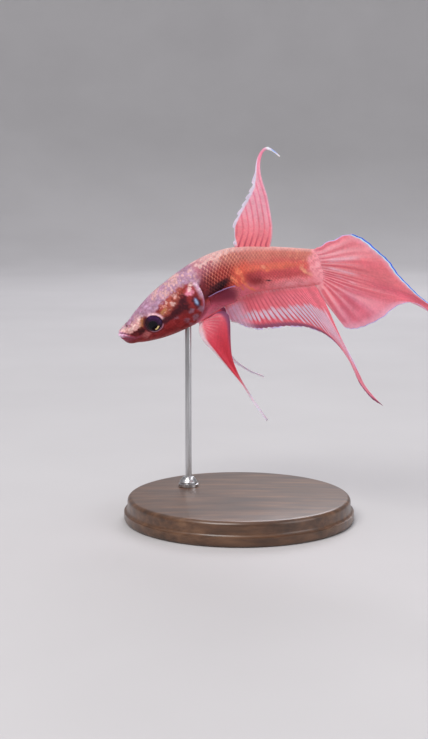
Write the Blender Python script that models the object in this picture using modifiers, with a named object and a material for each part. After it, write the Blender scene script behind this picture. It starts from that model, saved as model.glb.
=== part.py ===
"""A life-size betta fish on a plain display stand.

The fish swims head down and turns to its left. Its body is one loft along a curved spine, parted by thin
cuts into head, lower jaw, trunk and tail stalk. Gill covers, eyes and fins are pieces of their own.
Units are metres, +Z is up, the head points to -X and the fish's left side faces -Y. The origin is the
middle of the bounding box, at the underside of the stand.
"""

import math

import bmesh
import bpy
import numpy as np
from mathutils import Matrix, Vector

MM = 0.001

# Driving dimensions. Places on the fish are shares of LENGTH: s along the spine from the snout, v up from
# it and u out from it to the fish's left.
LENGTH = 54 * MM            # snout to the root of the tail fin
GAP = 0.3 * MM              # between pieces that meet
FIN_THICKNESS = 0.55 * MM
PAIRED_FIN_THICKNESS = 0.5 * MM
LIFT = 43 * MM              # snout above the table

# Pose
ROLL = math.radians(17)     # back leans towards -Y
PITCH = math.radians(30)    # head down
YAW = math.radians(1)
TURN_LEFT = math.radians(42)
ARCH = math.radians(12)     # tail end below the line of the head
TWIST = math.radians(-8)
BEND_START = 0.36
BEND_END = 0.70

# Body stations: s, half width, top, bottom, height of the widest place
STATIONS = (
    (0.000, 0.014, 0.006, -0.040, -0.013),
    (0.015, 0.027, 0.015, -0.060, -0.019),
    (0.060, 0.044, 0.029, -0.081, -0.020),
    (0.120, 0.060, 0.055, -0.107, -0.020),
    (0.200, 0.072, 0.082, -0.127, -0.017),
    (0.300, 0.079, 0.101, -0.137, -0.014),
    (0.380, 0.078, 0.112, -0.137, -0.009),
    (0.460, 0.070, 0.117, -0.130, -0.004),
    (0.560, 0.058, 0.119, -0.110, 0.003),
    (0.700, 0.043, 0.116, -0.086, 0.011),
    (0.850, 0.028, 0.105, -0.073, 0.012),
    (1.000, 0.015, 0.091, -0.065, 0.010),
)
BODY_RINGS = 44
RING_CROWDING = 1.3         # rings lie closer together towards the snout
RING_POINTS = 28
SPINE_STEPS = 900
SPINE_REACH = 1.8           # the spine line runs on past the body, to carry the tail fin

# Cuts across the body
HEAD_END = 0.398            # where the cut behind the head crosses the spine
HEAD_END_TILT = math.radians(29)
STALK_START = 0.72
CUTTER_SIZE = 70 * MM

# Head
JAW_LINE = ((-0.05, -0.008), (0.012, -0.013), (0.050, -0.029), (0.145, -0.087))
JAW_DEPTH = -0.2
JAW_HALF_WIDTH = 0.2
EYE_PLACE = (0.162, 0.047, -0.016)
EYE_RADIUS = 2.1 * MM
EYE_DEPTH = 1.6 * MM        # half of the eyeball's size across the head
GILL_THICKNESS = 1.0 * MM
GILL_PROUD = 0.15 * MM
GILL_POCKET_PROUD = 1.2 * MM
GILL_TOP = math.radians(26)
GILL_BOTTOM = math.radians(-58)
GILL_FRONT = 0.235
GILL_FRONT_CURVE = 0.035    # the upper and lower ends of the front edge lie back by this much
GILL_REAR = (0.300, 0.368, 0.402, 0.416, 0.413)
GILL_RADIUS = 0.1 * LENGTH  # of the body there, to turn a margin into an angle
GILL_GRID = (7, 9)
EYE_GRID = (20, 12)

# Fin outlines, as pairs of s and v
DORSAL_FRONT = (
    (0.622, 0.120), (0.628, 0.205), (0.668, 0.265), (0.725, 0.342), (0.772, 0.412), (0.802, 0.474),
    (0.836, 0.520), (0.872, 0.536), (0.925, 0.492),
)
DORSAL_REAR = (
    (0.776, 0.120), (0.812, 0.185), (0.824, 0.253), (0.822, 0.340), (0.809, 0.414), (0.820, 0.468),
    (0.846, 0.504), (0.872, 0.516), (0.917, 0.480),
)
ANAL_ROOT = (
    (0.474, -0.130), (0.522, -0.120), (0.619, -0.100), (0.690, -0.090), (0.758, -0.080), (0.815, -0.080),
    (0.862, -0.075), (0.902, -0.070), (0.932, -0.070), (0.957, -0.074), (0.985, -0.118), (1.004, -0.190),
    (1.028, -0.280), (1.062, -0.375), (1.090, -0.465), (1.122, -0.534), (1.186, -0.606),
)
ANAL_MARGIN = (
    (0.464, -0.212), (0.530, -0.250), (0.637, -0.264), (0.716, -0.257), (0.795, -0.254), (0.864, -0.257),
    (0.925, -0.273), (0.977, -0.294), (1.018, -0.334), (1.048, -0.380), (1.066, -0.428), (1.078, -0.472),
    (1.088, -0.505), (1.096, -0.527), (1.106, -0.548), (1.130, -0.576), (1.180, -0.616),
)
ANAL_ON_BODY = 9 / 16       # share of the root that lies along the belly
TAIL_UPPER = (
    (1.009, 0.086), (1.060, 0.117), (1.119, 0.136), (1.180, 0.150), (1.251, 0.109), (1.324, 0.028),
    (1.375, -0.051), (1.433, -0.143), (1.502, -0.230), (1.560, -0.283), (1.613, -0.310),
)
TAIL_LOWER = (
    (1.009, -0.058), (1.009, -0.135), (1.038, -0.195), (1.068, -0.246), (1.125, -0.266), (1.220, -0.240),
    (1.315, -0.172), (1.404, -0.166), (1.480, -0.240), (1.545, -0.297), (1.608, -0.322),
)
TAIL_SWEEP = -0.05          # the tail fin curls to the right by this much half a length behind its root
ANAL_WAVE = 0.010           # how far the folds of a fin stand out to the side
TAIL_WAVE = 0.004
FOLDING = 9                 # radians of folds across a fin
DORSAL_ROOT_SHARE = 0.25    # the share of the dorsal fin over which its root line fades out
PECTORAL_ROOT = ((0.432, -0.026), (0.420, -0.070))
PECTORAL_MARGIN = ((0.625, -0.028), (0.632, -0.062), (0.590, -0.100), (0.525, -0.124))
PECTORAL_STANDOFF = (0.084, 0.074)
PELVIC_STANDOFF = 0.046
PELVIC_FLARE = 0.05
PELVIC_LEFT = (
    ((0.348, -0.129), (0.322, -0.140), (0.307, -0.175), (0.306, -0.221), (0.321, -0.285), (0.338, -0.384),
     (0.352, -0.482), (0.353, -0.560), (0.356, -0.625), (0.363, -0.692)),
    ((0.380, -0.127), (0.440, -0.125), (0.472, -0.145), (0.470, -0.185), (0.412, -0.275), (0.376, -0.345),
     (0.363, -0.430), (0.363, -0.520), (0.367, -0.610), (0.374, -0.692)),
)
PELVIC_RIGHT = (
    ((0.348, -0.129), (0.330, -0.140), (0.322, -0.175), (0.324, -0.221), (0.338, -0.285), (0.352, -0.345),
     (0.364, -0.408), (0.378, -0.452), (0.416, -0.512), (0.472, -0.550)),
    ((0.380, -0.127), (0.432, -0.127), (0.456, -0.145), (0.452, -0.185), (0.410, -0.260), (0.385, -0.320),
     (0.377, -0.390), (0.392, -0.440), (0.426, -0.502), (0.474, -0.539)),
)

# Stand
BASE_RADIUS = 27 * MM
BASE_HEIGHT = 6 * MM
BASE_BEVEL = 0.9 * MM
BASE_OFFSET = (12 * MM, -8 * MM)    # middle of the base from the rod
ROD_RADIUS = 0.75 * MM
ROD_ENTRY = (0.275, 0.010)  # s and u where the rod meets the throat
ROD_DEPTH = 3.0 * MM        # length of rod inside the throat, and in the base
COLLAR_RADIUS = 2.4 * MM
COLLAR_HEIGHT = 2.0 * MM
BEVEL_STEPS = 3
ROD_SIDES = 16
COLLAR_SIDES = 24
BASE_SIDES = 48
RUN_OUT = 1 * MM            # a hole's cutter passes the face it opens by this much
THROAT_RUN_OUT = 4 * MM     # the throat's face is sloping and curved

COLOURS = {
    "head": (0.30, 0.10, 0.10),
    "lower_jaw": (0.34, 0.12, 0.12),
    "trunk": (0.34, 0.13, 0.06),
    "tail_stalk": (0.48, 0.18, 0.15),
    "gill_cover_left": (0.36, 0.04, 0.05),
    "gill_cover_right": (0.36, 0.04, 0.05),
    "eye_left": (0.03, 0.01, 0.03),
    "eye_right": (0.03, 0.01, 0.03),
    "dorsal_fin": (0.75, 0.22, 0.20),
    "anal_fin": (0.72, 0.14, 0.14),
    "tail_fin": (0.80, 0.22, 0.20),
    "pectoral_fin_left": (0.35, 0.18, 0.20),
    "pectoral_fin_right": (0.35, 0.18, 0.20),
    "pelvic_fin_left": (0.75, 0.16, 0.15),
    "pelvic_fin_right": (0.75, 0.16, 0.15),
    "stand_base": (0.09, 0.04, 0.02),
    "stand_rod": (0.55, 0.55, 0.56),
    "stand_collar": (0.55, 0.55, 0.56),
}
METALS = ("stand_rod", "stand_collar")
METAL_ROUGHNESS = 0.25
PLAIN_ROUGHNESS = 0.45
SHARP_ANGLE = math.radians(40)


# --- curves and frames ---------------------------------------------------------------------------------


def ease(t):
    t = min(max(t, 0.0), 1.0)
    return t * t * (3 - 2 * t)


def hermite(p, q, slope_p, slope_q, t):
    return (
        (2 * t**3 - 3 * t**2 + 1) * p
        + (t**3 - 2 * t**2 + t) * slope_p
        + (3 * t**2 - 2 * t**3) * q
        + (t**3 - t**2) * slope_q
    )


def curve_through(points, t):
    """The place at t, from 0 to 1, on a smooth curve that passes the points at even steps of t."""
    points = np.asarray(points, float)
    slopes = np.gradient(points, axis=0)
    x = min(max(t, 0.0), 1.0) * (len(points) - 1)
    i = min(int(x), len(points) - 2)
    return hermite(points[i], points[i + 1], slopes[i], slopes[i + 1], x - i)


def station(s):
    """Half width, top, bottom and height of the widest place at s, smooth between the stations."""
    table = np.array(STATIONS)
    places, sizes = table[:, 0], table[:, 1:]
    slopes = np.gradient(sizes, places, axis=0)
    i = int(np.clip(np.searchsorted(places, s) - 1, 0, len(places) - 2))
    step = places[i + 1] - places[i]
    t = min(max((s - places[i]) / step, 0.0), 1.0)
    return hermite(sizes[i], sizes[i + 1], slopes[i] * step, slopes[i + 1] * step, t)


def section(s, angle, out=0.0):
    """u and v on the body's surface at s. Angle 0 is the left side and a quarter turn the back."""
    half_width, top, bottom, widest = station(s)
    out = out / LENGTH
    height = (top - widest) if math.sin(angle) > 0 else (widest - bottom)
    return (half_width + out) * math.cos(angle), widest + (height + out) * math.sin(angle)


def heading(s):
    """The spine's directions at s, as the columns of a matrix: tailwards, to the right and up."""
    t = ease((s - BEND_START) / (BEND_END - BEND_START))
    bend = (
        Matrix.Rotation(ARCH * t, 3, "Y")
        @ Matrix.Rotation(-TURN_LEFT * t, 3, "Z")
        @ Matrix.Rotation(TWIST * t, 3, "X")
    )
    pose = Matrix.Rotation(YAW, 3, "Z") @ Matrix.Rotation(-PITCH, 3, "Y") @ Matrix.Rotation(ROLL, 3, "X")
    return pose @ bend


def spine_line():
    """Points along the spine from the snout, found by following its heading in small steps."""
    step = SPINE_REACH / SPINE_STEPS
    points = [Vector((0, 0, LIFT))]
    for i in range(SPINE_STEPS):
        points.append(points[-1] + heading((i + 0.5) * step).col[0] * step * LENGTH)
    return points


SPINE = spine_line()


def frame_at(s):
    x = s / SPINE_REACH * SPINE_STEPS
    i = int(min(max(x, 0), SPINE_STEPS - 1))
    origin = SPINE[i].lerp(SPINE[i + 1], x - i)
    return Matrix.Translation(origin) @ heading(s).to_4x4()


def place(s, u, v):
    """World point of a place on or beside the fish."""
    return frame_at(s) @ Vector((0, -u * LENGTH, v * LENGTH))


# --- building blocks -----------------------------------------------------------------------------------


def clear_scene():
    for obj in list(bpy.data.objects):
        bpy.data.objects.remove(obj, do_unlink=True)


def new_collection(name):
    made = bpy.data.collections.new(name)
    bpy.context.scene.collection.children.link(made)
    return made


clear_scene()
PARTS = new_collection("betta_fish")
CUTTERS = new_collection("cutters")
ROOT = bpy.data.objects.new("betta_fish_root", None)
PARTS.objects.link(ROOT)


def finish_for(name):
    made = bpy.data.materials.new(name)
    made.use_nodes = True
    shader = made.node_tree.nodes["Principled BSDF"]
    shader.inputs["Base Color"].default_value = (*COLOURS[name], 1)
    shader.inputs["Roughness"].default_value = METAL_ROUGHNESS if name in METALS else PLAIN_ROUGHNESS
    shader.inputs["Metallic"].default_value = 1.0 if name in METALS else 0.0
    return made


def add_part(name, mesh):
    obj = bpy.data.objects.new(name, mesh)
    obj.parent = ROOT
    PARTS.objects.link(obj)
    mesh.materials.append(finish_for(name))
    mesh.shade_smooth()
    mesh.set_sharp_from_angle(angle=SHARP_ANGLE)
    return obj


def add_cutter(name, mesh):
    obj = bpy.data.objects.new(name, mesh)
    obj.parent = ROOT
    obj.hide_render = True
    obj.display_type = "WIRE"
    CUTTERS.objects.link(obj)
    return obj


def mesh_from(bm, name):
    mesh = bpy.data.meshes.new(name)
    bm.to_mesh(mesh)
    bm.free()
    return mesh


def boolean(obj, operation, other):
    modifier = obj.modifiers.new(other.name, "BOOLEAN")
    modifier.operation = operation
    modifier.solver = "EXACT"
    modifier.object = other


def thicken(obj, thickness, offset=0.0):
    modifier = obj.modifiers.new("thickness", "SOLIDIFY")
    modifier.thickness = thickness
    modifier.offset = offset


def loft(rings, name):
    """A closed skin over rings of equal point counts, with a flat cap at each end."""
    bm = bmesh.new()
    loops = [[bm.verts.new(point) for point in ring] for ring in rings]
    for ring, following in zip(loops, loops[1:]):
        for k in range(len(ring)):
            j = (k + 1) % len(ring)
            bm.faces.new((ring[k], ring[j], following[j], following[k]))
    bm.faces.new(loops[0])
    bm.faces.new(loops[-1])
    bmesh.ops.recalc_face_normals(bm, faces=bm.faces)
    return mesh_from(bm, name)


def sheet(name, shape, columns, rows):
    """An open surface: shape(across, along) gives its points, with both from 0 to 1."""
    bm = bmesh.new()
    bmesh.ops.create_grid(bm, x_segments=columns, y_segments=rows, size=1)
    for vert in bm.verts:
        vert.co = shape((vert.co.x + 1) / 2, (vert.co.y + 1) / 2)
    return mesh_from(bm, name)


def cylinder(name, radius, foot, top, segments):
    """An upright cylinder over the rod's foot, between two heights."""
    bm = bmesh.new()
    bmesh.ops.create_cone(
        bm, cap_ends=True, segments=segments, radius1=radius, radius2=radius, depth=top - foot.z
    )
    bmesh.ops.translate(bm, vec=(foot.x, foot.y, (top + foot.z) / 2), verts=bm.verts)
    return mesh_from(bm, name)


# --- body ----------------------------------------------------------------------------------------------


def body_mesh(name):
    angles = [2 * math.pi * k / RING_POINTS for k in range(RING_POINTS)]
    places = [(i / BODY_RINGS) ** RING_CROWDING for i in range(BODY_RINGS + 1)]
    return loft([[place(s, *section(s, angle)) for angle in angles] for s in places], name)


def space_cutter(name, s, tilt, side):
    """A block that fills the space on the head side (-1) or the tail side (1) of a cut across the body."""
    bm = bmesh.new()
    bmesh.ops.create_cube(bm, size=CUTTER_SIZE)
    obj = add_cutter(name, mesh_from(bm, name))
    shift = Matrix.Translation((side * (CUTTER_SIZE - GAP) / 2, 0, 0))
    obj.matrix_local = frame_at(s) @ Matrix.Rotation(tilt, 4, "Y") @ shift
    return obj


def jaw_cutter(name, grow):
    """A wedge across the head, below the line of the mouth."""
    line = [(s + grow / LENGTH, v + grow / LENGTH) for s, v in JAW_LINE]
    outline = line + [(line[-1][0], JAW_DEPTH), (line[0][0], JAW_DEPTH)]
    straight = frame_at(0)
    rings = []
    for u in (-JAW_HALF_WIDTH, JAW_HALF_WIDTH):
        rings.append([straight @ (Vector((s, -u, v)) * LENGTH) for s, v in outline])
    return add_cutter(name, loft(rings, name))


def gill_shape(side, margin, out):
    """The surface of a gill cover, grown by a margin all round."""
    turn = margin / GILL_RADIUS
    grow = margin / LENGTH

    def shape(across, along):
        front = GILL_FRONT + GILL_FRONT_CURVE * (2 * along - 1) ** 2 - grow
        rear = curve_through(GILL_REAR, along) + grow
        angle = GILL_BOTTOM - turn + (GILL_TOP - GILL_BOTTOM + 2 * turn) * along
        s = front + (rear - front) * across
        u, v = section(s, angle, out)
        return place(s, side * u, v)

    return shape


def make_gill_cover(side, word):
    """Adds a gill cover and returns the cutter for its pocket in the body."""
    name = f"gill_cover_{word}"
    cover = add_part(name, sheet(name, gill_shape(side, 0, GILL_PROUD), *GILL_GRID))
    thicken(cover, GILL_THICKNESS, offset=-side)
    name = f"gill_pocket_{word}"
    pocket = add_cutter(name, sheet(name, gill_shape(side, GAP, GILL_POCKET_PROUD), *GILL_GRID))
    thicken(pocket, GILL_POCKET_PROUD - GILL_PROUD + GILL_THICKNESS + GAP, offset=-side)
    return pocket


def eyeball_mesh(name, grow):
    bm = bmesh.new()
    around, across = EYE_GRID
    bmesh.ops.create_uvsphere(bm, u_segments=around, v_segments=across, radius=1)
    bmesh.ops.scale(bm, vec=(EYE_RADIUS + grow, EYE_RADIUS + grow, EYE_DEPTH + grow), verts=bm.verts)
    return mesh_from(bm, name)


def make_eye(side, word):
    """Adds an eyeball and returns the cutter for its socket."""
    s, u, v = EYE_PLACE
    middle = Matrix.Translation(place(s, side * u, v))
    seat = middle @ heading(s).to_4x4() @ Matrix.Rotation(math.pi / 2, 4, "X")
    eye = add_part(f"eye_{word}", eyeball_mesh(f"eye_{word}", 0))
    socket = add_cutter(f"eye_socket_{word}", eyeball_mesh(f"eye_socket_{word}", GAP))
    eye.matrix_local = seat
    socket.matrix_local = seat
    return socket


def make_body(rod_hole):
    gill_pockets = [make_gill_cover(1, "left"), make_gill_cover(-1, "right")]
    eye_sockets = [make_eye(1, "left"), make_eye(-1, "right")]
    removed = {
        "head": [
            space_cutter("behind_head", HEAD_END, HEAD_END_TILT, 1),
            jaw_cutter("below_mouth", GAP),
            *eye_sockets,
            *gill_pockets,
            rod_hole,
        ],
        "trunk": [
            space_cutter("ahead_of_trunk", HEAD_END, HEAD_END_TILT, -1),
            space_cutter("behind_trunk", STALK_START, 0, 1),
            *gill_pockets,
        ],
        "tail_stalk": [space_cutter("ahead_of_stalk", STALK_START, 0, -1)],
    }
    for name, cutters in removed.items():
        obj = add_part(name, body_mesh(name))
        for cutter in cutters:
            boolean(obj, "DIFFERENCE", cutter)
    jaw = add_part("lower_jaw", body_mesh("lower_jaw"))
    boolean(jaw, "INTERSECT", jaw_cutter("jaw_space", 0))


# --- fins ----------------------------------------------------------------------------------------------


def body_edge(s, on_back):
    """v of the root of a fin, just clear of the back or the belly."""
    _, top, bottom, _ = station(s)
    clearance = GAP / LENGTH
    return top + clearance if on_back else bottom - clearance


def between(front, rear, across, along):
    return curve_through(front, along) * (1 - across) + curve_through(rear, along) * across


def dorsal_shape(across, along):
    s, v = between(DORSAL_FRONT, DORSAL_REAR, across, along)
    fade = max(0.0, 1 - along / DORSAL_ROOT_SHARE) ** 2
    v += (body_edge(s, True) - v) * fade
    return place(s, 0, v)


def anal_shape(across, along):
    root = curve_through(ANAL_ROOT, across)
    if across <= ANAL_ON_BODY:
        root[1] = body_edge(root[0], False)
    s, v = root + (curve_through(ANAL_MARGIN, across) - root) * along
    wave = ANAL_WAVE * along * math.sin(FOLDING * across) * (1 - across)
    return place(s, wave, v)


def tail_shape(across, along):
    s, v = between(TAIL_UPPER, TAIL_LOWER, across, along)
    reach = (s - 1) / 0.5
    wave = TAIL_WAVE * math.sin(FOLDING * across) * math.sin(math.pi * along)
    return place(s, TAIL_SWEEP * reach**2 + wave, v)


def pectoral_shape(side):
    def shape(across, along):
        root = curve_through(PECTORAL_ROOT, across)
        s, v = root + (curve_through(PECTORAL_MARGIN, across) - root) * along
        near, far = PECTORAL_STANDOFF
        return place(s, side * (near + (far - near) * along), v)

    return shape


def pelvic_shape(side, front, rear):
    def shape(across, along):
        s, v = between(front, rear, across, along)
        hang = max(0.0, PELVIC_LEFT[0][0][1] - v)
        return place(s, side * (PELVIC_STANDOFF + PELVIC_FLARE * hang), v)

    return shape


def make_fins():
    # Surface, columns, rows and thickness
    fins = {
        "dorsal_fin": (dorsal_shape, 8, 20, FIN_THICKNESS),
        "anal_fin": (anal_shape, 34, 5, FIN_THICKNESS),
        "tail_fin": (tail_shape, 12, 18, FIN_THICKNESS),
        "pectoral_fin_left": (pectoral_shape(1), 6, 5, PAIRED_FIN_THICKNESS),
        "pectoral_fin_right": (pectoral_shape(-1), 6, 5, PAIRED_FIN_THICKNESS),
        "pelvic_fin_left": (pelvic_shape(1, *PELVIC_LEFT), 4, 18, PAIRED_FIN_THICKNESS),
        "pelvic_fin_right": (pelvic_shape(-1, *PELVIC_RIGHT), 4, 18, PAIRED_FIN_THICKNESS),
    }
    for name, (shape, columns, rows, thickness) in fins.items():
        fin = add_part(name, sheet(name, shape, columns, rows))
        thicken(fin, thickness)


# --- stand ---------------------------------------------------------------------------------------------


def make_stand():
    """Adds the base, rod and collar, and returns the cutter for the rod's hole in the throat."""
    s, u = ROD_ENTRY
    entry = place(s, u, station(s)[2])
    foot = Vector((entry.x, entry.y, BASE_HEIGHT - ROD_DEPTH))
    top = entry.z + ROD_DEPTH
    add_part("stand_rod", cylinder("stand_rod", ROD_RADIUS, foot, top, ROD_SIDES))

    base_foot = Vector((entry.x + BASE_OFFSET[0], entry.y + BASE_OFFSET[1], 0))
    base = add_part("stand_base", cylinder("stand_base", BASE_RADIUS, base_foot, BASE_HEIGHT, BASE_SIDES))
    rounding = base.modifiers.new("rounding", "BEVEL")
    rounding.width = BASE_BEVEL
    rounding.segments = BEVEL_STEPS
    hole = foot - Vector((0, 0, GAP))
    seat = cylinder("rod_seat", ROD_RADIUS + GAP, hole, BASE_HEIGHT + RUN_OUT, ROD_SIDES)
    boolean(base, "DIFFERENCE", add_cutter("rod_seat", seat))

    collar_foot = Vector((foot.x, foot.y, BASE_HEIGHT + GAP))
    collar_top = collar_foot.z + COLLAR_HEIGHT
    ring = cylinder("stand_collar", COLLAR_RADIUS, collar_foot, collar_top, COLLAR_SIDES)
    collar = add_part("stand_collar", ring)
    bore = cylinder("collar_bore", ROD_RADIUS + GAP, foot, collar_top + RUN_OUT, ROD_SIDES)
    boolean(collar, "DIFFERENCE", add_cutter("collar_bore", bore))

    below = Vector((entry.x, entry.y, entry.z - THROAT_RUN_OUT))
    return add_cutter("rod_hole", cylinder("rod_hole", ROD_RADIUS + GAP, below, top + GAP, ROD_SIDES))


def centre_over_origin():
    """Moves the whole object so that its bounding box is centred over the origin."""
    bpy.context.view_layer.update()
    graph = bpy.context.evaluated_depsgraph_get()
    corners = []
    for obj in PARTS.objects:
        if obj.type == "MESH":
            solid = obj.evaluated_get(graph)
            corners += [solid.matrix_world @ Vector(corner) for corner in solid.bound_box]
    for axis in (0, 1):
        values = [corner[axis] for corner in corners]
        ROOT.location[axis] = -(min(values) + max(values)) / 2


make_body(make_stand())
make_fins()
centre_over_origin()
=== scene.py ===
"""Looks of a life-size betta fish on a display stand, with its light and camera.

Places on the fish are shares of LENGTH: s along the spine from the snout, v up from it and u out from it to
the fish's left. An angle goes round the body: 0 is the left side and a quarter turn is the back.
"""

import itertools
import math

import bpy
import numpy as np
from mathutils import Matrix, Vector


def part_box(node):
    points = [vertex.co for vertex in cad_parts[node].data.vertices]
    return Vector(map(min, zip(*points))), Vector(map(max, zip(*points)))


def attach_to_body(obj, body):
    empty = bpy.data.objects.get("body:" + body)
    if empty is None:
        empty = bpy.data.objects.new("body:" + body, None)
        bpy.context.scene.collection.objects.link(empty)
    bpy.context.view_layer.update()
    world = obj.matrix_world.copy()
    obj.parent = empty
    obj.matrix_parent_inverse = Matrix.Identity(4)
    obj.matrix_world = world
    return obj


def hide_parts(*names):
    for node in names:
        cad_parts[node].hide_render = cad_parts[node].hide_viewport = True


MM = 0.001

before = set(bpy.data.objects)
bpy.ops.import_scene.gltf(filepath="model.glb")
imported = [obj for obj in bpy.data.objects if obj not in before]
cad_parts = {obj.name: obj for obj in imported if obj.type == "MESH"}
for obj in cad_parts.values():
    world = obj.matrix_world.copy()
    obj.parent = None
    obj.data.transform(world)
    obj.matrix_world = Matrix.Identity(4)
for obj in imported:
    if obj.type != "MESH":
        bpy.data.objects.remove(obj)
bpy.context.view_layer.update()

# --- the fish's form, as its solids have it ------------------------------------------------------------

LENGTH = 54 * MM
LIFT = 43 * MM
ROLL = math.radians(17)
PITCH = math.radians(30)
YAW = math.radians(1)
TURN_LEFT = math.radians(42)
ARCH = math.radians(12)
TWIST = math.radians(-8)
BEND_START = 0.36
BEND_END = 0.70
SPINE_STEPS = 900
SPINE_REACH = 1.8
EYE_PLACE = (0.162, 0.047, -0.016)

# s, half width, top, bottom, height of the widest place
STATIONS = np.array((
    (0.000, 0.014, 0.006, -0.040, -0.013),
    (0.015, 0.027, 0.015, -0.060, -0.019),
    (0.060, 0.044, 0.029, -0.081, -0.020),
    (0.120, 0.060, 0.055, -0.107, -0.020),
    (0.200, 0.072, 0.082, -0.127, -0.017),
    (0.300, 0.079, 0.101, -0.137, -0.014),
    (0.380, 0.078, 0.112, -0.137, -0.009),
    (0.460, 0.070, 0.117, -0.130, -0.004),
    (0.560, 0.058, 0.119, -0.110, 0.003),
    (0.700, 0.043, 0.116, -0.086, 0.011),
    (0.850, 0.028, 0.105, -0.073, 0.012),
    (1.000, 0.015, 0.091, -0.065, 0.010),
))
SNOUT_ROUND = 0.012         # share over which the snout's tip closes
SNOUT_HEIGHT = -0.011       # v of the tip
STALK_CLOSE = (0.97, 1.04)  # where the tail stalk thins into the tail fin
GILL_REAR = (0.300, 0.368, 0.402, 0.416, 0.413)
GILL_ANGLES = (-58, 26)     # degrees, from the foot of the gill opening to its top
COAT = 0.10 * MM            # the skin lies this far inside the solids
FIRST_PLACE = 2e-5          # the body's surface has directions from this s on


def in_mm(share):
    """A share of the fish's length in millimetres."""
    return np.asarray(share) * LENGTH / MM


def ease(t):
    t = np.clip(t, 0.0, 1.0)
    return t * t * (3 - 2 * t)


def rise(x, start, end):
    """0 before start, 1 past end, and smooth between. It falls where end is below start."""
    return ease((np.asarray(x, float) - start) / (end - start))


def hump(x, middle, width):
    return np.exp(-(((np.asarray(x, float) - middle) / width) ** 2))


def bridge(first, second, leaving, arriving, t):
    """Values from first to second as t goes from 0 to 1, with the slopes of leaving and arriving."""
    return (
        (2 * t**3 - 3 * t**2 + 1) * first
        + (t**3 - 2 * t**2 + t) * leaving
        + (3 * t**2 - 2 * t**3) * second
        + (t**3 - t**2) * arriving
    )


def rotation(axis, angle):
    """Rotation matrices about X, Y or Z, one for each angle."""
    angle = np.asarray(angle, float)
    i, j = {"X": (1, 2), "Y": (2, 0), "Z": (0, 1)}[axis]
    made = np.zeros(angle.shape + (3, 3))
    made[...] = np.eye(3)
    made[..., i, i] = made[..., j, j] = np.cos(angle)
    made[..., i, j] = -np.sin(angle)
    made[..., j, i] = np.sin(angle)
    return made


def heading(s):
    """The spine's directions at s, as the columns of a matrix: tailwards, to the right and up."""
    t = ease((np.asarray(s, float) - BEND_START) / (BEND_END - BEND_START))
    pose = rotation("Z", YAW) @ rotation("Y", -PITCH) @ rotation("X", ROLL)
    return pose @ rotation("Y", ARCH * t) @ rotation("Z", -TURN_LEFT * t) @ rotation("X", TWIST * t)


SPINE_PLACES = np.linspace(0, SPINE_REACH, SPINE_STEPS + 1)
strides = heading((SPINE_PLACES[1:] + SPINE_PLACES[:-1]) / 2)[:, :, 0] * (SPINE_REACH / SPINE_STEPS * LENGTH)
SPINE = np.concatenate(([[0, 0, LIFT]], np.array([0, 0, LIFT]) + np.cumsum(strides, axis=0)))


def place(s, u, v):
    """World points of places on or beside the fish."""
    s, u, v = np.broadcast_arrays(np.asarray(s, float), u, v)
    origin = np.stack([np.interp(s, SPINE_PLACES, SPINE[:, axis]) for axis in range(3)], axis=-1)
    across = np.stack([np.zeros_like(s), -u * LENGTH, v * LENGTH], axis=-1)
    return origin + (heading(s) @ across[..., None])[..., 0]


eye_low, eye_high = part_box("eye_left")
SPINE[:, :2] += (np.array(eye_low + eye_high) / 2 - place(*EYE_PLACE))[:2]


def station(s):
    """Half width, top, bottom and height of the widest place at s, smooth between the stations."""
    places, sizes = STATIONS[:, 0], STATIONS[:, 1:]
    slopes = np.gradient(sizes, places, axis=0)
    i = np.clip(np.searchsorted(places, s) - 1, 0, len(places) - 2)
    step = (places[i + 1] - places[i])[..., None]
    t = np.clip((s - places[i])[..., None] / step, 0.0, 1.0)
    return np.moveaxis(bridge(sizes[i], sizes[i + 1], slopes[i] * step, slopes[i + 1] * step, t), -1, 0)


def section(s, angle):
    """u and v on the body's surface, with the snout's tip rounded and the stalk's end thinned."""
    s, angle = np.broadcast_arrays(np.asarray(s, float), angle)
    half_width, top, bottom, widest = station(s)
    height = np.where(np.sin(angle) > 0, top - widest, widest - bottom)
    u, v = half_width * np.cos(angle), widest + height * np.sin(angle)
    tip = np.sqrt(1 - (1 - np.clip(s / SNOUT_ROUND, 0, 1)) ** 2)
    thin = 1 - 0.97 * rise(s, *STALK_CLOSE)
    return u * tip * thin, SNOUT_HEIGHT + (v - SNOUT_HEIGHT) * tip


def angle_at(s, share):
    """The angle at a share of the way round the section at s, by distance, from the belly's middle."""
    angles = np.linspace(-0.5 * math.pi, 1.5 * math.pi, 361)
    u, v = section(s, angles)
    walked = np.concatenate(([0], np.cumsum(np.hypot(np.diff(u), np.diff(v)))))
    return np.interp(share, walked / walked[-1], angles)


def side_degrees(angle):
    """Degrees above or below the middle of the nearer side, from -90 at the belly to 90 at the back."""
    return np.degrees(np.arctan2(np.sin(angle), np.abs(np.cos(angle))))


def gill_line(angle):
    """s of the line of the gill opening, run on over the nape and the throat."""
    degrees = (-90, -74, *np.linspace(*GILL_ANGLES, len(GILL_REAR)), 50, 90)
    return np.interp(side_degrees(angle), degrees, (0.262, 0.272, *GILL_REAR, 0.405, 0.400))


def smooth_gill_line(angle):
    """The gill line with its corners rounded off, by averaging it over a few degrees."""
    return sum(gill_line(angle + math.radians(shift)) for shift in range(-9, 10, 3)) / 7


def gill_free(angle):
    """1 where the gill cover's rear edge is free, 0 on the nape and under the throat."""
    degrees = side_degrees(angle)
    return rise(degrees, -72, -52) * rise(degrees, 34, 16)


# --- relief of the skin --------------------------------------------------------------------------------

# The mouth, in mm behind the snout's tip and up
MOUTH_LINE = ((-0.5, 0.26), (0.2, 0.24), (1.0, 0.12), (1.5, -0.16), (2.0, -0.55), (2.6, -1.06), (3.4, -1.8))
MOUTH_CORNER = 2.4          # mm behind the snout's tip
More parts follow.
